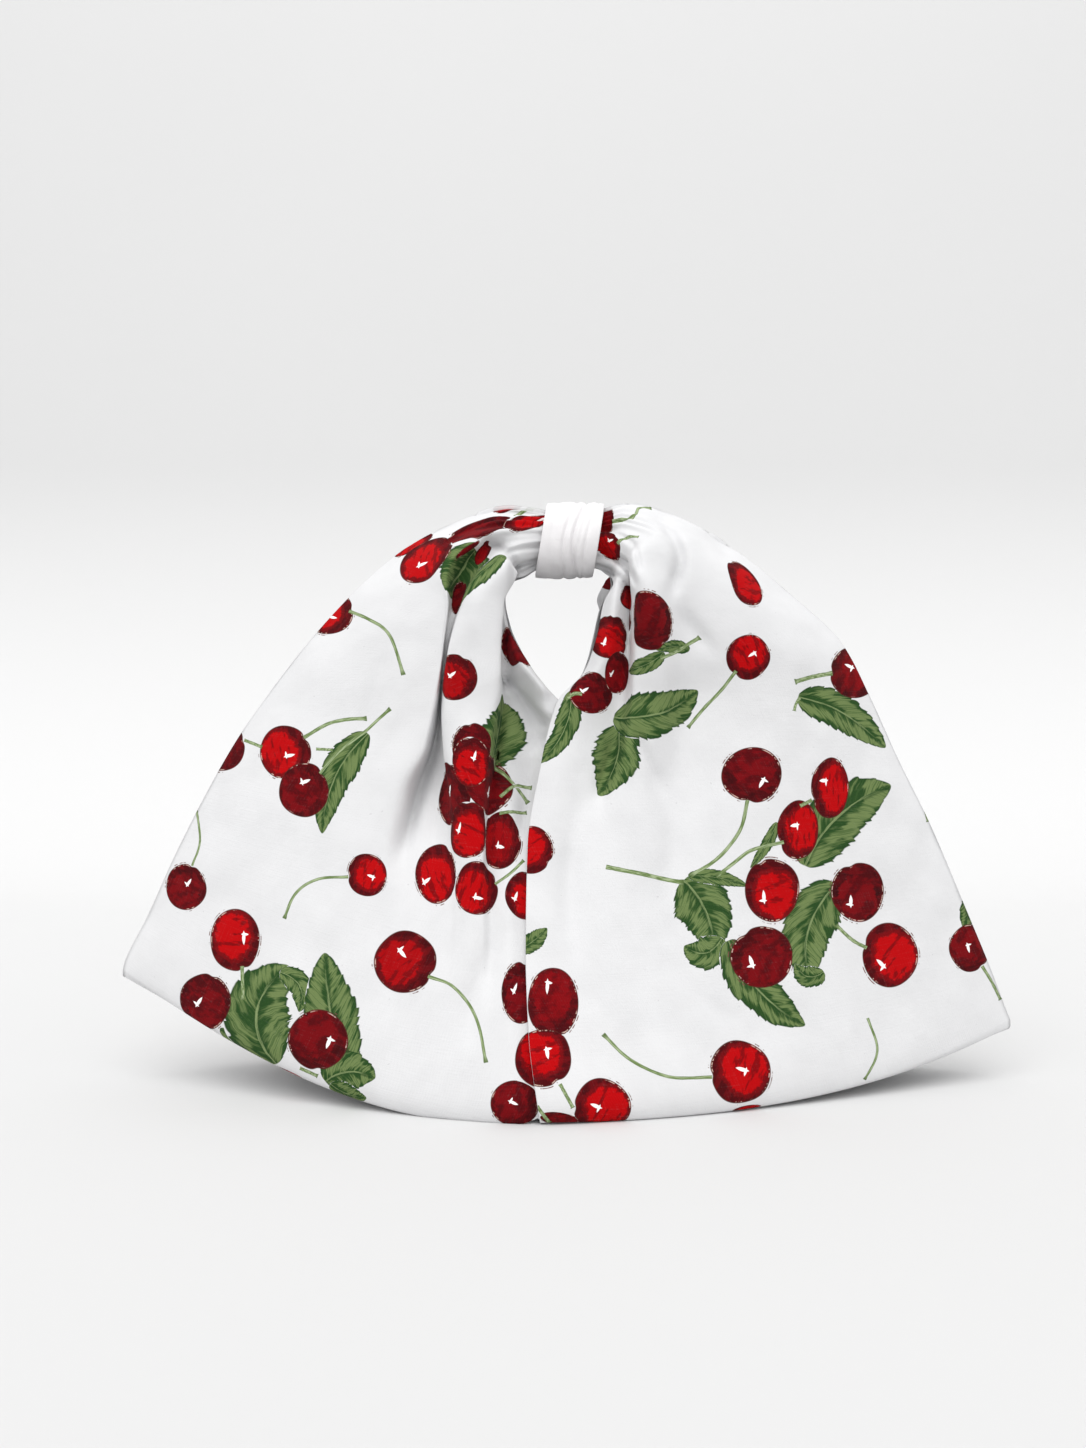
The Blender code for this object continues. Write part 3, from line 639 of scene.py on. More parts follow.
def bent_line(points, steps=6):
    """A smooth line through the points."""
    points = np.array(points, float)
    at = np.linspace(0, len(points) - 1, (len(points) - 1) * steps + 1)
    if len(points) == 2:
        return points[0] + (points[1] - points[0]) * at[:, None]
    return np.stack([curve(at, points[:, i]) for i in (0, 1)], axis=-1)


LINE_OVERRUN = 5.0  # the first and last piece of a line reach this many of their lengths beyond it


def beside_line(line, places):
    """Way along a line, distance to its left and its whole length, for places in the plane."""
    start, step = line[:-1], np.diff(line, axis=0)
    length = np.linalg.norm(step, axis=-1)
    before = np.concatenate([[0], np.cumsum(length)[:-1]])
    low, high = np.zeros(len(length)), np.ones(len(length))
    low[0], high[-1] = -LINE_OVERRUN, 1 + LINE_OVERRUN
    offset = places[..., None, :] - start
    t = np.clip(np.sum(offset * step, -1) / length**2, low, high)
    gap = offset - step * t[..., None]
    best = np.argmin(np.linalg.norm(gap, axis=-1), axis=-1)[..., None]
    side = (step[:, 0] * offset[..., 1] - step[:, 1] * offset[..., 0]) / length
    return (np.take_along_axis(before + t * length, best, -1)[..., 0],
            np.take_along_axis(side, best, -1)[..., 0], length.sum())


def creased(grid, creases):
    """The grid with creases pressed into its front half."""
    half = slice(0, grid.shape[1] // 2)
    for depth, shift, half_width, fade, points in creases:
        along, aside, length = beside_line(bent_line(points), view_pixels("front", grid[:, half]))
        share = along / length
        taper = ramp(share, (0.0, fade)) * (1 - ramp(share, (1 - fade, 1.0)))
        press = np.exp(-((aside * PIXEL / half_width) ** 2)) * taper
        grid[:, half, 0] += shift * press
        grid[:, half, 1] += depth * press
    return grid


def shown_grid(left):
    """The panel's outer surface as it is shown, with the small unevenness that the solids leave out."""
    grid = panel_grid(left, even_columns(left, FACE_COLUMNS), ALONG)
    normal = outward(grid, left)
    across = np.linspace(0, 1, grid.shape[1])
    high = ramp(ALONG, WAVES_START)[:, None] * (1 - ramp(ALONG, WAVES_END))[:, None]
    wave = sum(soft_noise(grid, seed + left, WAVE_COUNT, longest, shortest) * height
               for seed, height, longest, shortest in WAVES)
    bend = STRAND_BEND[0] * np.sin(across * STRAND_BEND[1])
    sway = STRAND_SWAY[0] * np.sin(ALONG * STRAND_SWAY[1])[:, None]
    strands = np.sin(across * 2 * np.pi * STRANDS + bend + sway)
    lift = wave * high * WAVE_SHARE + strands * STRAND_HEIGHT * ramp(ALONG, STRANDS_START)[:, None]
    lift[:, grid.shape[1] // 2] = 0
    return creased(grid + normal * lift[..., None], LEFT_CREASES if left else RIGHT_CREASES)


def inside_grid(outer, left):
    """The inner surface of a shown panel. Front and back keep off each other at the middle plane."""
    inner = outer - outward(outer, left) * CLOTH_SHOWN
    middle = outer.shape[1] // 2
    inner[1:, :middle, 1] = np.minimum(inner[1:, :middle, 1], -MIDDLE_AIR)
    inner[1:, middle + 1:, 1] = np.maximum(inner[1:, middle + 1:, 1], MIDDLE_AIR)
    inner[:, middle, 1] = 0
    inner[0, :, 1] = 0
    inner[0, middle] = outer[0, middle] + ((1 if left else -1) * CLOTH_SHOWN, 0, CLOTH_SHOWN / 2)
    return inner


# ---------------------------------------------------------------- laying the chart on the cloth
TRIES = 25  # pixels on the way inwards
LEAST_SPACING = 0.2  # between points of the grid, where it is asked how many a reach covers
MORE_POINTS = 1.4  # factor on their number, because the grid isn't even
MOST_POINTS = (90, 100)  # rows and columns to each side
LEAST_FACING = 0.3  # cloth turned further away than this says nothing about a motif's place
MOST_STRETCH = 2.0  # a motif is drawn at most this much longer one way than it looks in the view
LEAST_SEEN = 12  # points that a motif's place is worked out from
SHARPEST = 0.05  # least 1 + cosine of the angle between neighbouring normals
UP = {"front": (0.0, 0.0, 1.0), "back": (0.0, 0.0, 1.0), "below": (0.0, 1.0, 0.0)}


def walk(place, normal, axis, flat, next_place, next_normal):
    """Carries flat coordinates and the axis of their first one from places to the next places."""
    step = next_place - place
    level = step - normal * np.sum(step * normal, -1, keepdims=True)
    level = unit(level) * np.linalg.norm(step, axis=-1, keepdims=True)
    other = np.cross(normal, axis)
    moved = np.stack([np.sum(level * axis, -1), np.sum(level * other, -1)], -1)
    turn = np.cross(normal, next_normal)
    cosine = np.sum(normal * next_normal, -1, keepdims=True)
    twice = np.cross(turn, np.cross(turn, axis)) / np.maximum(1 + cosine, SHARPEST)
    turned = axis + np.cross(turn, axis) + twice
    turned = unit(turned - next_normal * np.sum(turned * next_normal, -1, keepdims=True))
    return flat + moved, turned


class Cloth:
    """A panel's outer grid, for walking over it."""

    def __init__(self, grid, left):
        self.points, self.normals = grid, outward(grid, left)
        self.rows, self.columns = grid.shape[:2]
        index = np.arange(self.rows * self.columns).reshape(self.rows, self.columns)
        self.tree = BVHTree.FromPolygons(grid.reshape(-1, 3).tolist(), corners(index).reshape(-1, 4).tolist())

    def nearest_hit(self, view, x, y):
        """Row, column, place and pixel of the cloth seen at a pixel, or at the first hit further inwards."""
        end_x, end_y = VIEW_INSIDE[view]
        for share in np.linspace(0, 1, TRIES):
            pixel = x + (end_x - x) * share, y + (end_y - y) * share
            start, way = view_ray(view, *pixel)
            place, _, face, _ = self.tree.ray_cast(Vector(start), Vector(way))
            if place is not None:
                return *divmod(face, self.columns - 1), np.array(place), pixel
        return None

    def unroll(self, row, column, place, axis, reach):
        """Flat coordinates about a place, for the grid's points within about reach of it."""
        points, normals = self.points, self.normals
        flat = np.zeros((self.rows, self.columns, 2))
        axes = np.zeros((self.rows, self.columns, 3))

        def span(middle, neighbour, most, end):
            spacing = max(np.linalg.norm(points[row, column] - points[neighbour]), LEAST_SPACING)
            count = min(int(reach / spacing * MORE_POINTS) + 3, most)
            return slice(max(middle - count, 0), min(middle + count + 1, end))

        def carry(here, there):
            flat[there], axes[there] = walk(points[here], normals[here], axes[here], flat[here],
                                            points[there], normals[there])

        def ways(middle, part):
            return [(n, step) for step, stop in ((1, part.stop), (-1, part.start - 1))
                    for n in range(middle + step, stop, step)]

        rows = span(row, (row + 1, column), MOST_POINTS[0], self.rows)
        columns = span(column, (row, column + 1), MOST_POINTS[1], self.columns)
        here, normal = (row, column), normals[row, column]
        flat[here], axes[here] = walk(place, normal, axis, np.zeros(2), points[here], normal)
        for c, step in ways(column, columns):
            carry((row, c - step), (row, c))
        for r, step in ways(row, rows):
            carry((r - step, columns), (r, columns))
        return rows, columns, flat[rows, columns]

    def chart_places(self, view, x, y, reach_pixels):
        """Rows, columns and chart pixels of the cloth round a pixel, as one even map of the flat cloth."""
        found = self.nearest_hit(view, x, y)
        if not found:
            return None
        row, column, place, pixel = found
        sight = unit(view_ray(view, *pixel)[1])
        axis = unit(np.cross(self.normals[row, column], np.array(UP[view])))
        axis = axis * np.sign(axis[0] * (-1 if view == "back" else 1) + 1e-9)
        reach = reach_pixels * PIXEL
        rows, columns, flat = self.unroll(row, column, place, axis, reach * MOST_STRETCH)
        seen = view_pixels(view, self.points[rows, columns])
        facing = -self.normals[rows, columns] @ sight
        close = (np.linalg.norm(flat, axis=-1) < reach) & (facing > LEAST_FACING)
        close &= np.linalg.norm(seen - pixel, axis=-1) < reach_pixels
        if close.sum() < LEAST_SEEN:
            return None
        weight = facing[close] ** 2
        known = np.concatenate([flat[close], np.ones((close.sum(), 1))], axis=1)
        fit = np.linalg.lstsq(known * weight[:, None], seen[close] * weight[:, None], rcond=None)[0]
        u, s, v = np.linalg.svd(fit[:2])
        s = np.clip(s, s.max() / MOST_STRETCH, None)
        return rows, columns, flat @ (u @ np.diag(s) @ v) + fit[2]


# ---------------------------------------------------------------- motifs: coordinates on the faces
MARGIN = 6.0  # pixels round a motif that its faces have to cover
LUMP_ROOM = 4  # and more round a cherry, whose outline is uneven
LUMPS = 0.11  # size of the lumps of a cherry's outline
LEAF_POINTS = 9  # of a leaf's middle line
STEM_SHARE = 0.4  # half the width of a stem, as a share of the width in the table
LAYER_COUNTS = {"leaf": 6, "cherry": 4, "stem": 3}
FAR = (9.0, 9.0, 0.0)  # coordinates of a place without a motif
GLINT_SCALE, GLINT_MIDDLE = 7, 4.5  # a glint's place as a digit of the code: place * scale + middle


def uneven(angle, seed):
    """Factors near 1 that make a round outline a little lumpy."""
    rng = np.random.default_rng(seed)
    return 1 + sum(rng.uniform(-0.5, 0.5) * LUMPS / k * np.cos(k * angle + rng.uniform(0, 6.3))
                   for k in (2, 3, 4, 5))


class Layer:
    """Coordinates for the corners of a panel's faces, and which faces and points have a motif already."""

    def __init__(self, cloth):
        self.values = np.tile(np.array(FAR), (cloth.rows - 1, cloth.columns - 1, 4, 1))
        self.faces = np.zeros((cloth.rows - 1, cloth.columns - 1), bool)
        self.inside = np.zeros((cloth.rows, cloth.columns), bool)


class Print:
    """A panel's motifs, in a few layers of each kind."""

    def __init__(self, cloth):
        self.cloth = cloth
        self.layers = {kind: [Layer(cloth) for _ in range(count)] for kind, count in LAYER_COUNTS.items()}

    def add(self, kind, rows, columns, near, strict, *values):
        """near and strict tell whether a point is by the motif or in it. values are x, y and the code."""
        faces = near[:-1, :-1] | near[1:, :-1] | near[:-1, 1:] | near[1:, 1:]
        if not faces.any():
            return
        window = slice(rows.start, rows.stop - 1), slice(columns.start, columns.stop - 1)
        layers = self.layers[kind]
        covered = [i for i, layer in enumerate(layers) if (layer.inside[rows, columns] & strict).any()]
        above = layers[covered[-1] + 1:] if covered else layers
        free = [layer for layer in above if not (layer.faces[window] & faces).any()]
        layer = free[0] if free else layers[-1]
        layer.faces[window] |= faces
        layer.inside[rows, columns] |= strict
        layer.values[window][faces] = corners(np.stack(np.broadcast_arrays(*values), axis=-1))[faces]

    def cherry(self, number, view, x, y, width, height, dimple_x, dimple_y, tone, glint_x, glint_y, tilt=0):
        found = self.cloth.chart_places(view, x, y, max(width, height) / 2 + MARGIN + LUMP_ROOM)
        if not found:
            return
        rows, columns, pixel = found
        half = np.array((width, height)) / 2
        c, s = math.cos(math.radians(tilt)), math.sin(math.radians(tilt))

        def scaled(place):
            return (np.asarray(place) - (x, y)) @ np.array(((c, -s), (s, c))) / half

        dimple = unit(scaled((dimple_x, dimple_y)))
        turn = np.array(((dimple[1], -dimple[0]), (dimple[0], dimple[1])))
        local = scaled(pixel) @ turn.T
        local = local * uneven(np.arctan2(local[..., 1], local[..., 0]), number)[..., None]
        glint = turn @ scaled((glint_x, glint_y)) if glint_x else np.array((1.0, 1.0))
        digits = np.clip(np.round(glint * GLINT_SCALE + GLINT_MIDDLE), 0, 9)
        code = np.round(tone * 9) * 1000 + digits[0] * 100 + digits[1] * 10 + number % 10
        radius = np.linalg.norm(local, axis=-1)
        self.add("cherry", rows, columns, radius < 1 + MARGIN / half.min(), radius < 1,
                 local[..., 0], local[..., 1], code)

    def leaf(self, number, view, base_x, base_y, tip_x, tip_y, width, bend, tone):
        base, tip = np.array((base_x, base_y), float), np.array((tip_x, tip_y), float)
        way = tip - base
        aside = np.array((way[1], -way[0]))
        line = [base + way * t + aside * bend * 4 * t * (1 - t) for t in np.linspace(0, 1, LEAF_POINTS)]
        self.add_along("leaf", view, np.array(line), width / 2, np.round(tone * 9) * 10 + number % 10)

    def stem(self, number, view, width, points):
        self.add_along("stem", view, bent_line(points), width * STEM_SHARE, number % 10)

    def add_along(self, kind, view, line, half_width, code):
        """A motif whose x is the share of the way along a line, and y the distance from it in half widths."""
        centre = line[len(line) // 2]
        reach = np.linalg.norm(line - centre, axis=-1).max() + half_width + MARGIN
        found = self.cloth.chart_places(view, *centre, reach)
        if not found:
            return
        rows, columns, pixel = found
        s, d, total = beside_line(line, pixel)
        near = (np.abs(d) < half_width + MARGIN) & (s > -MARGIN) & (s < total + MARGIN)
        strict = (np.abs(d) < half_width) & (s > 0) & (s < total)
        self.add(kind, rows, columns, near, strict, s / total, d / half_width, float(code))


def printed(cloth, name):
    """The whole print of one panel."""
    result = Print(cloth)
    chart = whole_chart()
    for kind, add in (("leaf", result.leaf), ("cherry", result.cherry), ("stem", result.stem)):
        for number, (view, panel, *rest) in enumerate(chart[kind]):
            if panel == name:
                add(number, view, *rest)
    return result


# ---------------------------------------------------------------- shader helpers
def linear(*rgb):
    """A colour of 0 to 255 a channel as it is on screen, for a shader."""
    return tuple(((v / 255 + 0.055) / 1.055) ** 2.4 if v > 10 else v / 255 / 12.92 for v in rgb) + (1.0,)


def plug(slot, value):
    """Links a node's number or sets a plain one."""
    if isinstance(value, Num):
        value.tree.links.new(value.socket, slot)
    else:
        slot.default_value = value


class Num:
    """A number, place or colour in a node tree, with operators that make Math nodes."""

    def __init__(self, tree, socket):
        self.tree, self.socket = tree, socket

    def node(self, kind, inputs, output=0, **settings):
        """An output of a new node."""
        node = self.tree.nodes.new("ShaderNode" + kind)
        for name, value in settings.items():
            setattr(node, name, value)
        for slot, value in inputs.items():
            plug(node.inputs[slot], value)
        return Num(self.tree, node.outputs[output])

    def math(self, operation, *others):
        return self.node("Math", dict(enumerate((self, *others))), operation=operation)

    def __add__(self, other):
        return self.math("ADD", other)

    def __sub__(self, other):
        return self.math("SUBTRACT", other)

    def __mul__(self, other):
        return self.math("MULTIPLY", other)

    def __truediv__(self, other):
        return self.math("DIVIDE", other)

    def __rsub__(self, other):
        return self * -1.0 + other

    def square(self):
        return self * self

    def abs(self):
        return self.math("ABSOLUTE")

    def power(self, exponent):
        return self.math("POWER", exponent)

    def ease(self, low, high):
        """0 below low and 1 above high, or the other way round where low is the larger."""
        ends = (low, high, 0, 1) if low < high else (high, low, 1, 0)
        inputs = dict(zip(("From Min", "From Max", "To Min", "To Max"), ends), Value=self)
        return self.node("MapRange", inputs, interpolation_type="SMOOTHSTEP")


def attribute(tree, name):
    node = tree.nodes.new("ShaderNodeAttribute")
    node.attribute_type = "GEOMETRY"
    node.attribute_name = name
    return Num(tree, node.outputs["Vector"])


def split(place):
    outputs = place.node("SeparateXYZ", {0: place}).socket.node.outputs
    return [Num(place.tree, output) for output in outputs]


def noise(place, detail=2.0, rough=0.5, scale=1.0):
    """Noise at a place, or at the one with the given two or three numbers."""
    if isinstance(place, tuple):
        place = place[0].node("CombineXYZ", dict(enumerate(place)))
    return place.node("TexNoise", {"Vector": place, "Scale": scale, "Detail": detail, "Roughness": rough})


def mix(share, low, high):
    """Colour low where share is 0 and high where it is 1. Colours are a node's, or 0 to 255 as on screen."""
    low, high = (linear(*color) if isinstance(color, tuple) else color for color in (low, high))
    return share.node("Mix", {"Factor": share, 6: low, 7: high}, output=2, data_type="RGBA")


def digit(code, place):
    """The decimal digit of the code at a place."""
    return (code * (1 / place) + 0.0005).math("FLOOR").math("FLOORED_MODULO", 10.0)


# ---------------------------------------------------------------- the motifs' paint
def in_cherry(x, y, reach):
    return (x.square() + y.square()).math("LESS_THAN", reach * reach)


def leaf_width(s):
    """Half width of a leaf, 1 at its widest, at a share of the way to its tip."""
    inside = s.math("MINIMUM", 1.0).math("MAXIMUM", 0.0)
    return inside.power(0.5) * (1.0 - inside).math("MAXIMUM", 0.0).power(0.75) * 2.35


def in_leaf(s, d, reach):
    return (d.abs() - leaf_width(s) * reach).math("LESS_THAN", 0.0)


def in_stem(s, d, reach):
    return ((s - 0.5).abs() * 2.0).math("MAXIMUM", d.abs() * (0.8 / reach)).math("LESS_THAN", 1.0)


def cherry_paint(x, y, code):
    """x, y: 1 at the outline, with the dimple at y = 1."""
    tone = digit(code, 1000) / 9
    glint_x = (digit(code, 100) - GLINT_MIDDLE) / GLINT_SCALE
    glint_y = (digit(code, 10) - GLINT_MIDDLE) / GLINT_SCALE
    seed = digit(code, 1)
    r = (x.square() + y.square()).math("SQRT")
    inverse = r.math("MAXIMUM", 0.05).power(-1.0)
    around_x, around_y = x * inverse, y * inverse

    # the outline, with its notch at the dimple and strokes that stray outside it
    notch = ((x / 0.16).square() * -1.0).math("EXPONENT") * y.ease(0.3, 0.8)
    rim = r + notch * 0.07
    sector = noise((around_x * 1.1, around_y * 1.1, seed * 4.0 + 3.0), 1.0)
    broken = noise((around_x * 5.0, around_y * 5.0, seed * 2.0 + r), 3.0, 0.7)
    stray = rim.ease(1.015, 1.03) * rim.ease(1.065, 1.045) * sector.ease(0.54, 0.6) * broken.ease(0.46, 0.54)
    cover = rim.ease(1.0, 0.97).math("MAXIMUM", stray)

    # a bright or deep core in a darker ring
    bristle = noise((around_x * 7.0 + y, around_y * 7.0 - x, r * 1.2 + seed), 4.0, 0.7) - 0.5
    lump = noise((around_x * 1.6, around_y * 1.6, seed + 0.5), 1.0) - 0.5
    strokes = noise((x * 1.2 + y * 0.8, y * 3.6 - x * 1.8, seed * 3.0), 2.0, 0.6)
    patches = noise((x * 1.5, y * 2.1, seed * 5.0), 3.0, 0.6)
    off_x, off_y = x + (seed - 4.5) * 0.02, y + 0.17
    core_r = (off_x.square() + off_y.square()).math("SQRT") / 0.76
    core = (core_r + bristle * 0.42 + lump * 0.5).ease(0.98, 0.88)
    around_core = (core_r + bristle * 0.3 + lump * 0.5).ease(1.16, 1.06)
    bright = mix(strokes.ease(0.38, 0.48), (126, 3, 8), (176, 3, 8))
    deep = mix(patches.ease(0.40, 0.56), (82, 6, 12), (112, 8, 15))
    heart = mix(tone.ease(0.2, 0.75), deep, bright)
    ring = mix(strokes.ease(0.46, 0.6), (72, 7, 12), (96, 9, 15))
    ring = mix(around_core * tone * 0.55, ring, (128, 7, 13))
    ring = mix((1.0 - tone) * patches.ease(0.5, 0.62) * 0.75, ring, (46, 7, 10))
    color = mix(core, ring, heart)

    # a brown line, a pale arc inside it, and the stray strokes
    line = rim.ease(0.935, 0.965) * broken.ease(0.40, 0.5)
    arc = rim.ease(0.915, 0.93) * rim.ease(0.965, 0.945) * sector.ease(0.5, 0.58) * broken.ease(0.53, 0.47)
    color = mix(line * 0.8, color, (76, 40, 32))
    color = mix(arc * 0.75, color, (214, 186, 172))
    color = mix(stray, color, (112, 76, 66))

    # the glint: a bar with a foot, none where its digits are both 9
    gx, gy = x - glint_x, y - glint_y
    bar = (gx + gy * 0.35).abs() + (gy / 0.2).square() * 0.06
    foot = (gy + 0.12 - gx * 0.4).abs() + ((gx - 0.08) / 0.13).square() * 0.04
    glint = bar.ease(0.076, 0.052).math("MAXIMUM", foot.ease(0.052, 0.034))
    glint = glint * (glint_x + glint_y).math("LESS_THAN", 1.2)
    return mix(glint, color, (250, 248, 246)), cover


def leaf_paint(s, d, code):
    """s: 0 at the base and 1 at the tip; d: 1 at the widest half width."""
    tone = digit(code, 10) / 9
    seed = digit(code, 1)
    half = d.ease(-0.03, 0.03) * 4.0 + seed * 3.0  # the two halves of the leaf differ

    # the toothed outline
    rag = noise((s * 4.5, half)) - 0.5
    teeth = (s * 11.0 + seed * 0.31 + rag * 2.0).math("FRACT")
    edge = leaf_width(s) * (teeth * 0.1 + 0.92 + rag * 0.5)
    away = d.abs()
    cover = (edge - away).ease(-0.02, 0.03) * s.ease(0.0, 0.01) * s.ease(1.0, 0.99)

    # brush strokes along the veins, light between them, dark at the edge and by the rib
    share = away / edge.math("MAXIMUM", 0.06)
    vein = s * 7.0 - away * 1.5 - away * away * 0.7
    broad = noise((vein * 0.8, away * 1.4, half)) - 0.5
    hatch = noise((vein * 2.8, away * 0.8, half + 1.0), 3.0, 0.65) - 0.5
    fine = noise((vein * 8.0, away * 1.2, half + 2.0))
    lobe = (share - 0.5).abs() * -2.0 + 1.0
    light = (broad * 1.7 + hatch * 1.5 + lobe * 0.5 + tone * 0.24 - 0.24).ease(-0.1, 0.22)
    color = mix(light, (40, 70, 32), (106, 124, 76))
    color = mix(fine.ease(0.53, 0.6) * 0.6, color, (56, 84, 42))
    color = mix(hatch.ease(0.14, 0.24) * light * 0.4, color, (128, 144, 98))
    color = mix(share.ease(0.84, 0.97) * 0.75, color, (36, 64, 30))
    color = mix((d - 0.06).abs().ease(0.09, 0.02) * 0.5, color, (38, 66, 32))
    rib = away.ease(0.05, 0.02) * s.ease(0.9, 0.6) * broad.ease(-0.12, 0.0)
    return mix(rib * 0.8, color, (136, 152, 104)), cover


def stem_paint(s, d, code):
    """s: 0 at the fruit and 1 at the free end; d: 1 at half of the widest width."""
    rag = noise((s * 9.0, code, d * 0.3)) - 0.5
    knob = s.ease(0.93, 0.99)
    width = s.ease(0.0, 0.12) * -0.1 + 1.0 + knob * 0.4 + rag * 0.4
    away = d.abs()
    cover = (width - away).ease(-0.08, 0.12) * s.ease(0.0, 0.004) * s.ease(1.0, 0.992)
    streak = noise((s * 7.0, d * 1.4, code + 3.0))
    color = mix(streak.ease(0.4, 0.62), (104, 124, 76), (158, 172, 134))
    color = mix((away / width).ease(0.5, 0.95) * 0.6, color, (76, 98, 54))
    return mix(knob * 0.7, color, (72, 92, 48)), cover


PAINTS = (("leaf", in_leaf, leaf_paint), ("cherry", in_cherry, cherry_paint), ("stem", in_stem, stem_paint))
SURE, NEAR = 0.97, 1.15  # reach of a motif that certainly covers, and of one that may, as shares of its size


def uppermost(tree, kind, inside):
    """The coordinates of the uppermost motif of a kind at each place: x, y and its code."""
    chosen = attribute(tree, f"{kind}_0")
    taken = inside(*split(chosen)[:2], SURE)
    for layer in range(1, LAYER_COUNTS[kind]):
        upper = attribute(tree, f"{kind}_{layer}")
        x, y, _ = split(upper)
        sure = inside(x, y, SURE)
        share = sure.math("MAXIMUM", inside(x, y, NEAR) * (1.0 - taken))
        chosen = share.node("Mix", {"Factor": share, 4: chosen, 5: upper}, output=1, data_type="VECTOR")
        taken = taken.math("MAXIMUM", sure)
    return split(chosen)


# ---------------------------------------------------------------- cotton
THREAD_PITCH = 0.9
SLUB_ACROSS, SLUB_ALONG = 1.6, 0.07  # how quickly a slub changes across and along its thread
MOTTLE_SCALE, FLECK_SCALE, CRUMPLE_SCALE = 0.035, 0.35, 0.25
CHECK_HEIGHT, SLUB_HEIGHT, CRUMPLE_HEIGHT = 0.5, 1.6, 1.5  # shares of the bump
SLUB_WEAR, CHECK_WEAR = 0.035, 0.012  # how much bare cloth shows through the print on the threads
WEAVE_BUMP = {"Strength": 0.35, "Distance": 0.00025}
COTTON = {"Roughness": 0.85, "Sheen Weight": 0.02, "Sheen Roughness": 0.5, "Specular IOR Level": 0.05}
# Two shades of the cloth and the shade of its slubs.
WHITE = ((217, 217, 218), (213, 213, 214), (204, 204, 207))
# The band's shades are about ten levels lighter than the panels': painted light, standing in for light that
# its shaded place between the two loops doesn't get.
BAND_WHITE_PAINTED_LIGHTER = ((228, 226, 227), (224, 222, 223), (216, 214, 215))
FLECK = (150, 148, 150)
SHOW_THROUGH = 0.82  # share of the bare cloth's colour on a printed panel's inner side


def cotton_look(name, shades, is_printed):
    material = bpy.data.materials.new(name)
    material.use_nodes = True
    tree = material.node_tree
    shader = tree.nodes["Principled BSDF"]
    cloth = attribute(tree, "cloth_mm")
    u, v, side = split(cloth)
    turns = 2 * math.pi / THREAD_PITCH
    checks = (u * turns).math("SINE") * (v * turns).math("SINE")
    slubs = noise((u * SLUB_ACROSS, v * SLUB_ALONG)) + noise((u * SLUB_ALONG, v * SLUB_ACROSS, 5.0)) - 1.0
    color = mix(noise(cloth, 3.0, scale=MOTTLE_SCALE).ease(0.35, 0.65), *shades[:2])
    color = mix(slubs.ease(0.1, 0.5) * 0.25, color, shades[2])
    if is_printed:
        bare = color = mix(noise(cloth, 1.0, scale=FLECK_SCALE).ease(0.78, 0.8) * 0.25, color, FLECK)
        for kind, inside, paint in PAINTS:
            motif, cover = paint(*uppermost(tree, kind, inside))
            color = mix(cover, color, motif)
        color = mix(side * SHOW_THROUGH, color, bare)
        worn = slubs.ease(0.05, 0.5) * SLUB_WEAR + checks.ease(0.2, 1.0) * CHECK_WEAR
        color = mix(worn, color, bare)
    crumples = noise(cloth, 4.0, scale=CRUMPLE_SCALE)
    height = checks * CHECK_HEIGHT + slubs * SLUB_HEIGHT + crumples * CRUMPLE_HEIGHT
    normal = height.node("Bump", {"Height": height, **WEAVE_BUMP})
    for slot, value in {"Base Color": color, "Normal": normal, **COTTON}.items():
        plug(shader.inputs[slot], value)
    return material


# ---------------------------------------------------------------- meshes
def set_attribute(mesh, name, domain, values):
    layer = mesh.attributes.new(name, "FLOAT_VECTOR", domain)
    layer.data.foreach_set("vector", np.ascontiguousarray(values, dtype=np.float32).ravel())


def add_object(name, points, faces, material):
    mesh = bpy.data.meshes.new(name)
    mesh.from_pydata((np.asarray(points) * MM).tolist(), [], faces)
    mesh.materials.append(material)
    mesh.shade_smooth()
    piece = bpy.data.objects.new(name, mesh)
    bpy.context.collection.objects.link(piece)
    return piece


def turn_outwards(mesh):
    """Turns all faces of a closed mesh outwards."""
    fresh = bmesh.new()
    fresh.from_mesh(mesh)
    bmesh.ops.recalc_face_normals(fresh, faces=fresh.faces)
    fresh.to_mesh(mesh)
    fresh.free()


def hem(edge, count):
    """Faces between an edge of the outer surface and the same edge of the inner one, count points on."""
    return np.stack([edge[:-1], edge[1:], edge[1:] + count, edge[:-1] + count], -1)


def build_shown_panel(name, left, material):
    outer = shown_grid(left)
    chart = printed(Cloth(outer, left), "left" if left else "right")
    rows, columns = outer.shape[:2]
    middle, count = columns // 2, rows * columns
    index = np.arange(count).reshape(rows, columns)
    index[0, middle + 1:] = index[0, :middle][::-1]  # in row 0 the front's and the back's points are one line
    quads = corners(index).reshape(-1, 4)
    order = (0, 3, 2, 1) if left else (0, 1, 2, 3)
    edges = (index[-1], index[:, 0], index[:, -1])
    faces = [quads[:, order], (quads + count)[:, order[::-1]], *(hem(edge, count) for edge in edges)]
    faces = np.concatenate(faces)
    used = np.unique(faces)
    renumber = np.full(2 * count, -1)
    renumber[used] = np.arange(len(used))
    points = np.concatenate([outer.reshape(-1, 3), inside_grid(outer, left).reshape(-1, 3)])
    piece = add_object(name + "_cloth", points[used], renumber[faces].tolist(), material)
    turn_outwards(piece.data)
    u = way_along(outer)
    u = u - u[:, middle: middle + 1]
    v = way_along(outer[:, middle])[:, None] + np.zeros((1, columns))
    places = [np.stack([u, v, np.full((rows, columns), side)], -1).reshape(-1, 3) for side in (0, 1)]
    set_attribute(piece.data, "cloth_mm", "POINT", np.concatenate(places)[used])
    set_chart(piece.data, chart, renumber[np.concatenate([quads, quads + count])])
    return piece


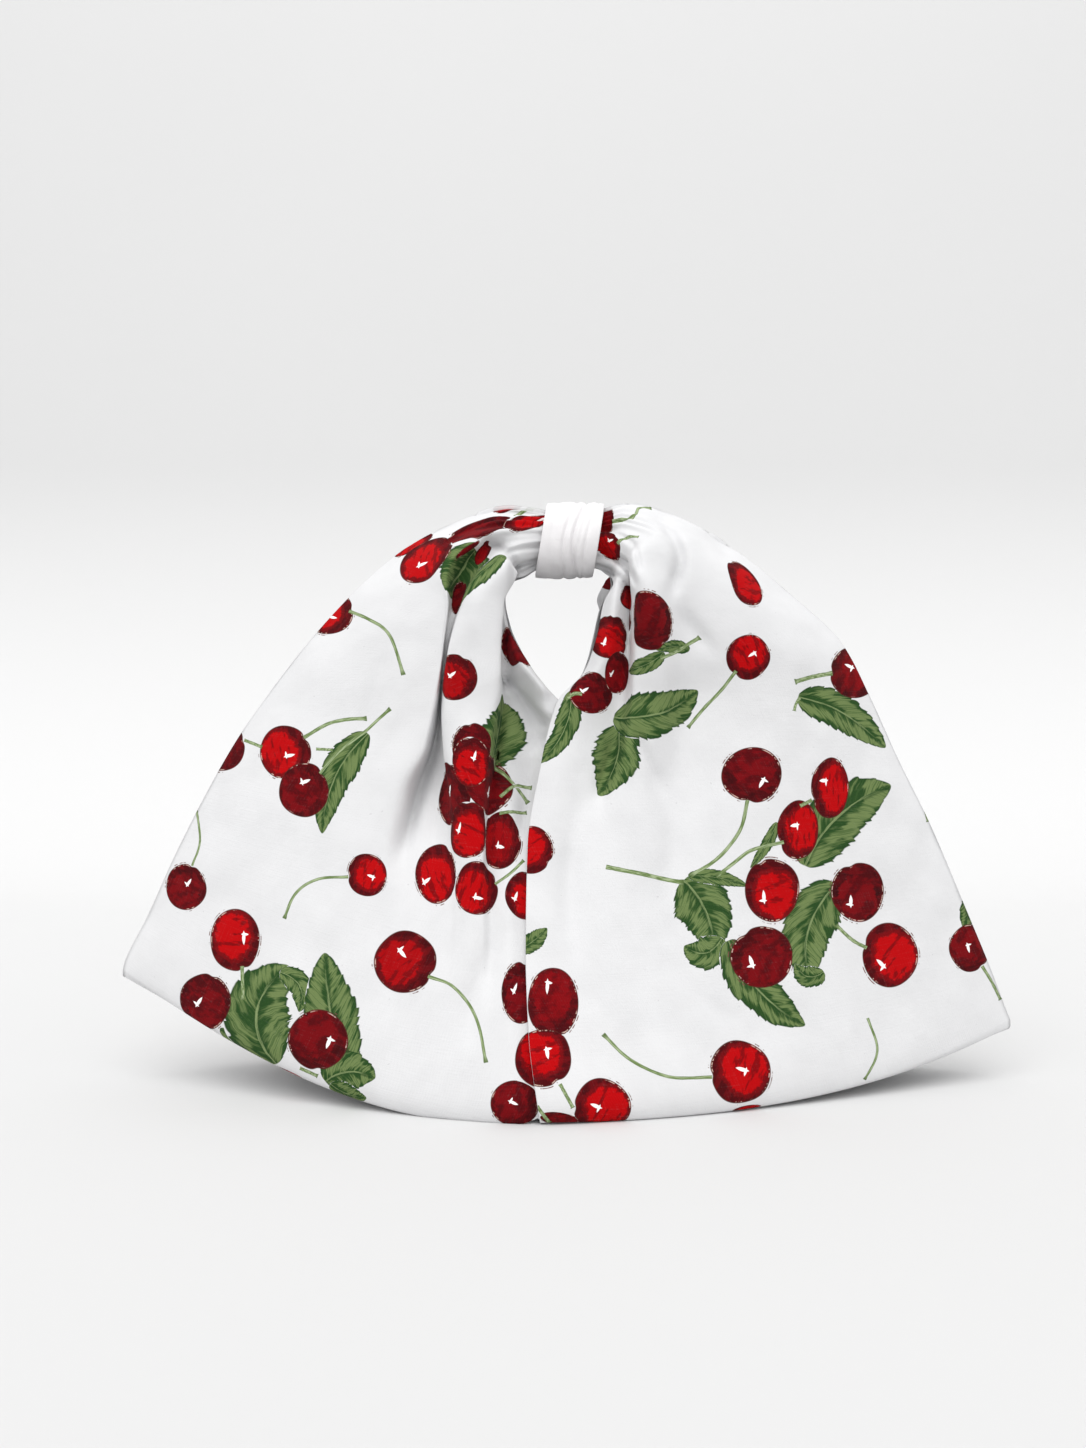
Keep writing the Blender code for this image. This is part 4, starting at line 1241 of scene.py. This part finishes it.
def set_chart(mesh, chart, quads):
    """Writes the chart's layers to the face corners, whatever order the mesh now has them in.

    quads holds the points of the outer faces and then of the inner ones, in the layers' order.
    """
    found = np.zeros(len(mesh.loops), int)
    mesh.loops.foreach_get("vertex_index", found)
    found = found.reshape(-1, 4)
    order = np.argmax(found[:len(quads), :, None] == quads[:, None, :], axis=-1)[..., None]
    for kind, layers in chart.layers.items():
        for number, layer in enumerate(layers):
            values = np.tile(np.array(FAR), (len(found), 4, 1))
            both_sides = np.tile(layer.values.reshape(-1, 4, 3), (2, 1, 1))
            values[:len(quads)] = np.take_along_axis(both_sides, order, 1)
            set_attribute(mesh, f"{kind}_{number}", "CORNER", values)


# ---------------------------------------------------------------- band
BAND_CENTRE = (1.5, 0.0, 322.8)
BAND_WIDTH = 34.0
BAND_HALF_HEIGHT = 22.7
BAND_HALF_DEPTH = 21.0
BAND_CLOTH = 2.0
BAND_SLANT = 3.4
BAND_TURNS = 180
BAND_STRIPS = 60
BAND_WAVES = (21, 16, 26, 8)  # seed, count, longest and shortest
BAND_WAVE_HEIGHT = 0.35
# Band creases: offset along x, slant, bow towards +x at top and bottom, depth, width.
BAND_CREASES = ((-3.6, 0.5, 4.0, 1.5, 1.2), (1.8, -0.5, 5.5, 2.0, 1.2), (9.5, 1.0, 3.0, 0.8, 1.1),
                (-11.0, -1.0, 2.0, 0.5, 1.8), (5.5, 2.0, 2.0, 0.4, 1.0))


def build_shown_band(material):
    turn = np.linspace(0, 2 * np.pi, BAND_TURNS, endpoint=False)[:, None] + np.zeros((1, BAND_STRIPS + 1))
    strip = np.linspace(-1, 1, BAND_STRIPS + 1)[None, :] + 0 * turn
    x = BAND_WIDTH / 2 * strip
    crease = 0
    for offset, slant, bow, depth, width in BAND_CREASES:
        line = offset + slant * np.sin(turn) + bow * np.sin(turn) ** 2
        crease = crease + depth * np.exp(-(((x - line) / width) ** 2))
    shrink = crease * (0.6 + 0.4 * np.cos(turn)) + strip**4  # the creases are deepest in front
    y = -(BAND_HALF_DEPTH - shrink) * np.cos(turn)
    z = (BAND_HALF_HEIGHT - shrink) * np.sin(turn)
    outer = np.stack([x + BAND_SLANT * np.sin(turn), y, z], -1) + np.array(BAND_CENTRE)
    out = unit(np.stack([0 * turn, -np.cos(turn), np.sin(turn)], -1))
    outer = outer + out * (soft_noise(outer, *BAND_WAVES) * BAND_WAVE_HEIGHT)[..., None]
    points = np.concatenate([outer.reshape(-1, 3), (outer - out * BAND_CLOTH).reshape(-1, 3)])
    index = np.arange(turn.size).reshape(turn.shape)
    loop = np.concatenate([index, index[:1]])
    quads = corners(loop).reshape(-1, 4)
    rims = [hem(loop[:, column], turn.size) for column in (0, -1)]
    faces = np.concatenate([quads, quads[:, ::-1] + turn.size, *rims])
    piece = add_object("band_cloth", points, faces.tolist(), material)
    turn_outwards(piece.data)
    place = np.stack([strip * BAND_WIDTH / 2, turn * BAND_HALF_HEIGHT, 0 * turn], -1).reshape(-1, 3)
    set_attribute(piece.data, "cloth_mm", "POINT", np.concatenate([place, place]))
    return piece


# ---------------------------------------------------------------- stage, light and camera
FLOOR_FRONT, FLOOR_BACK = -2500.0, 700.0
BEND_RADIUS = 500.0
BACKDROP_HEIGHT = 1600.0
STAGE_HALF_WIDTH = 2500.0
PAPER = ((206, 206, 206), (209, 209, 209))
PAPER_SCALE = 1.5
PAPER_ROUGHNESS = 0.9
SKY_STRENGTH = 0.92


def build_stage():
    """A pale floor that curves up into a backdrop."""
    profile = [(FLOOR_FRONT, 0.0), (FLOOR_BACK, 0.0)]
    for angle in np.linspace(0, np.pi / 2, 25)[1:]:
        profile.append((FLOOR_BACK + BEND_RADIUS * np.sin(angle), BEND_RADIUS * (1 - np.cos(angle))))
    profile.append((FLOOR_BACK + BEND_RADIUS, BACKDROP_HEIGHT + BEND_RADIUS))
    points = [(side * STAGE_HALF_WIDTH, y, z) for y, z in profile for side in (-1, 1)]
    faces = [(2 * i, 2 * i + 1, 2 * i + 3, 2 * i + 2) for i in range(len(profile) - 1)]
    material = bpy.data.materials.new("paper")
    material.use_nodes = True
    shader = material.node_tree.nodes["Principled BSDF"]
    tint = noise(attribute(material.node_tree, "position"), scale=PAPER_SCALE)
    plug(shader.inputs["Base Color"], mix(tint, *PAPER))
    plug(shader.inputs["Roughness"], PAPER_ROUGHNESS)
    add_object("floor", points, faces, material)


def add_lamp(kind, name, energy, size, place, target):
    """A lamp that faces the target. Places are in metres, and size is an angle in degrees for a sun."""
    lamp = bpy.data.lights.new(name, kind)
    lamp.energy = energy
    if kind == "SUN":
        lamp.angle = math.radians(size)
    else:
        lamp.size = size
    item = bpy.data.objects.new(name, lamp)
    item.location = place
    item.rotation_euler = (Vector(place) - Vector(target)).to_track_quat("Z", "Y").to_euler()
    bpy.context.collection.objects.link(item)


def build_light():
    world = bpy.data.worlds.new("studio")
    world.use_nodes = True
    sky = world.node_tree.nodes["Background"]
    plug(sky.inputs["Color"], (1, 1, 1, 1))
    plug(sky.inputs["Strength"], SKY_STRENGTH)
    bpy.context.scene.world = world
    add_lamp("SUN", "key", energy=1.85, size=60, place=(-0.2, -1.0, 1.8), target=(0, 0, 0))
    add_lamp("AREA", "backdrop lamp", energy=6.5, size=1.8, place=(0.0, 0.5, 2.3), target=(0.0, 1.2, 2.0))


def build_camera():
    data = bpy.data.cameras.new("camera")
    data.lens = LENS
    data.sensor_width = SENSOR
    data.sensor_fit = "AUTO"
    data.clip_end = 20  # metres
    camera = bpy.data.objects.new("camera", data)
    camera.location = [v * MM for v in CAMERA_PLACE]
    camera.rotation_euler = (math.pi / 2 - CAMERA_DOWN, 0, 0)
    bpy.context.collection.objects.link(camera)
    bpy.context.scene.camera = camera


build_camera()
build_light()
build_stage()
bpy.context.scene.view_settings.view_transform = "Standard"

printed_cotton = cotton_look("printed_cotton_look", WHITE, True)
plain_cotton = cotton_look("plain_cotton_look", BAND_WHITE_PAINTED_LIGHTER, False)

pieces = {}
for node, is_left in (("left_panel", True), ("right_panel", False)):
    panel = build_shown_panel(node, is_left, printed_cotton)
    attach(panel, "root")
    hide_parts(node)
    pieces[node] = panel
band = build_shown_band(plain_cotton)
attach(band, "root")
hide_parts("band")
for panel in pieces.values():
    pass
list(pieces.values())
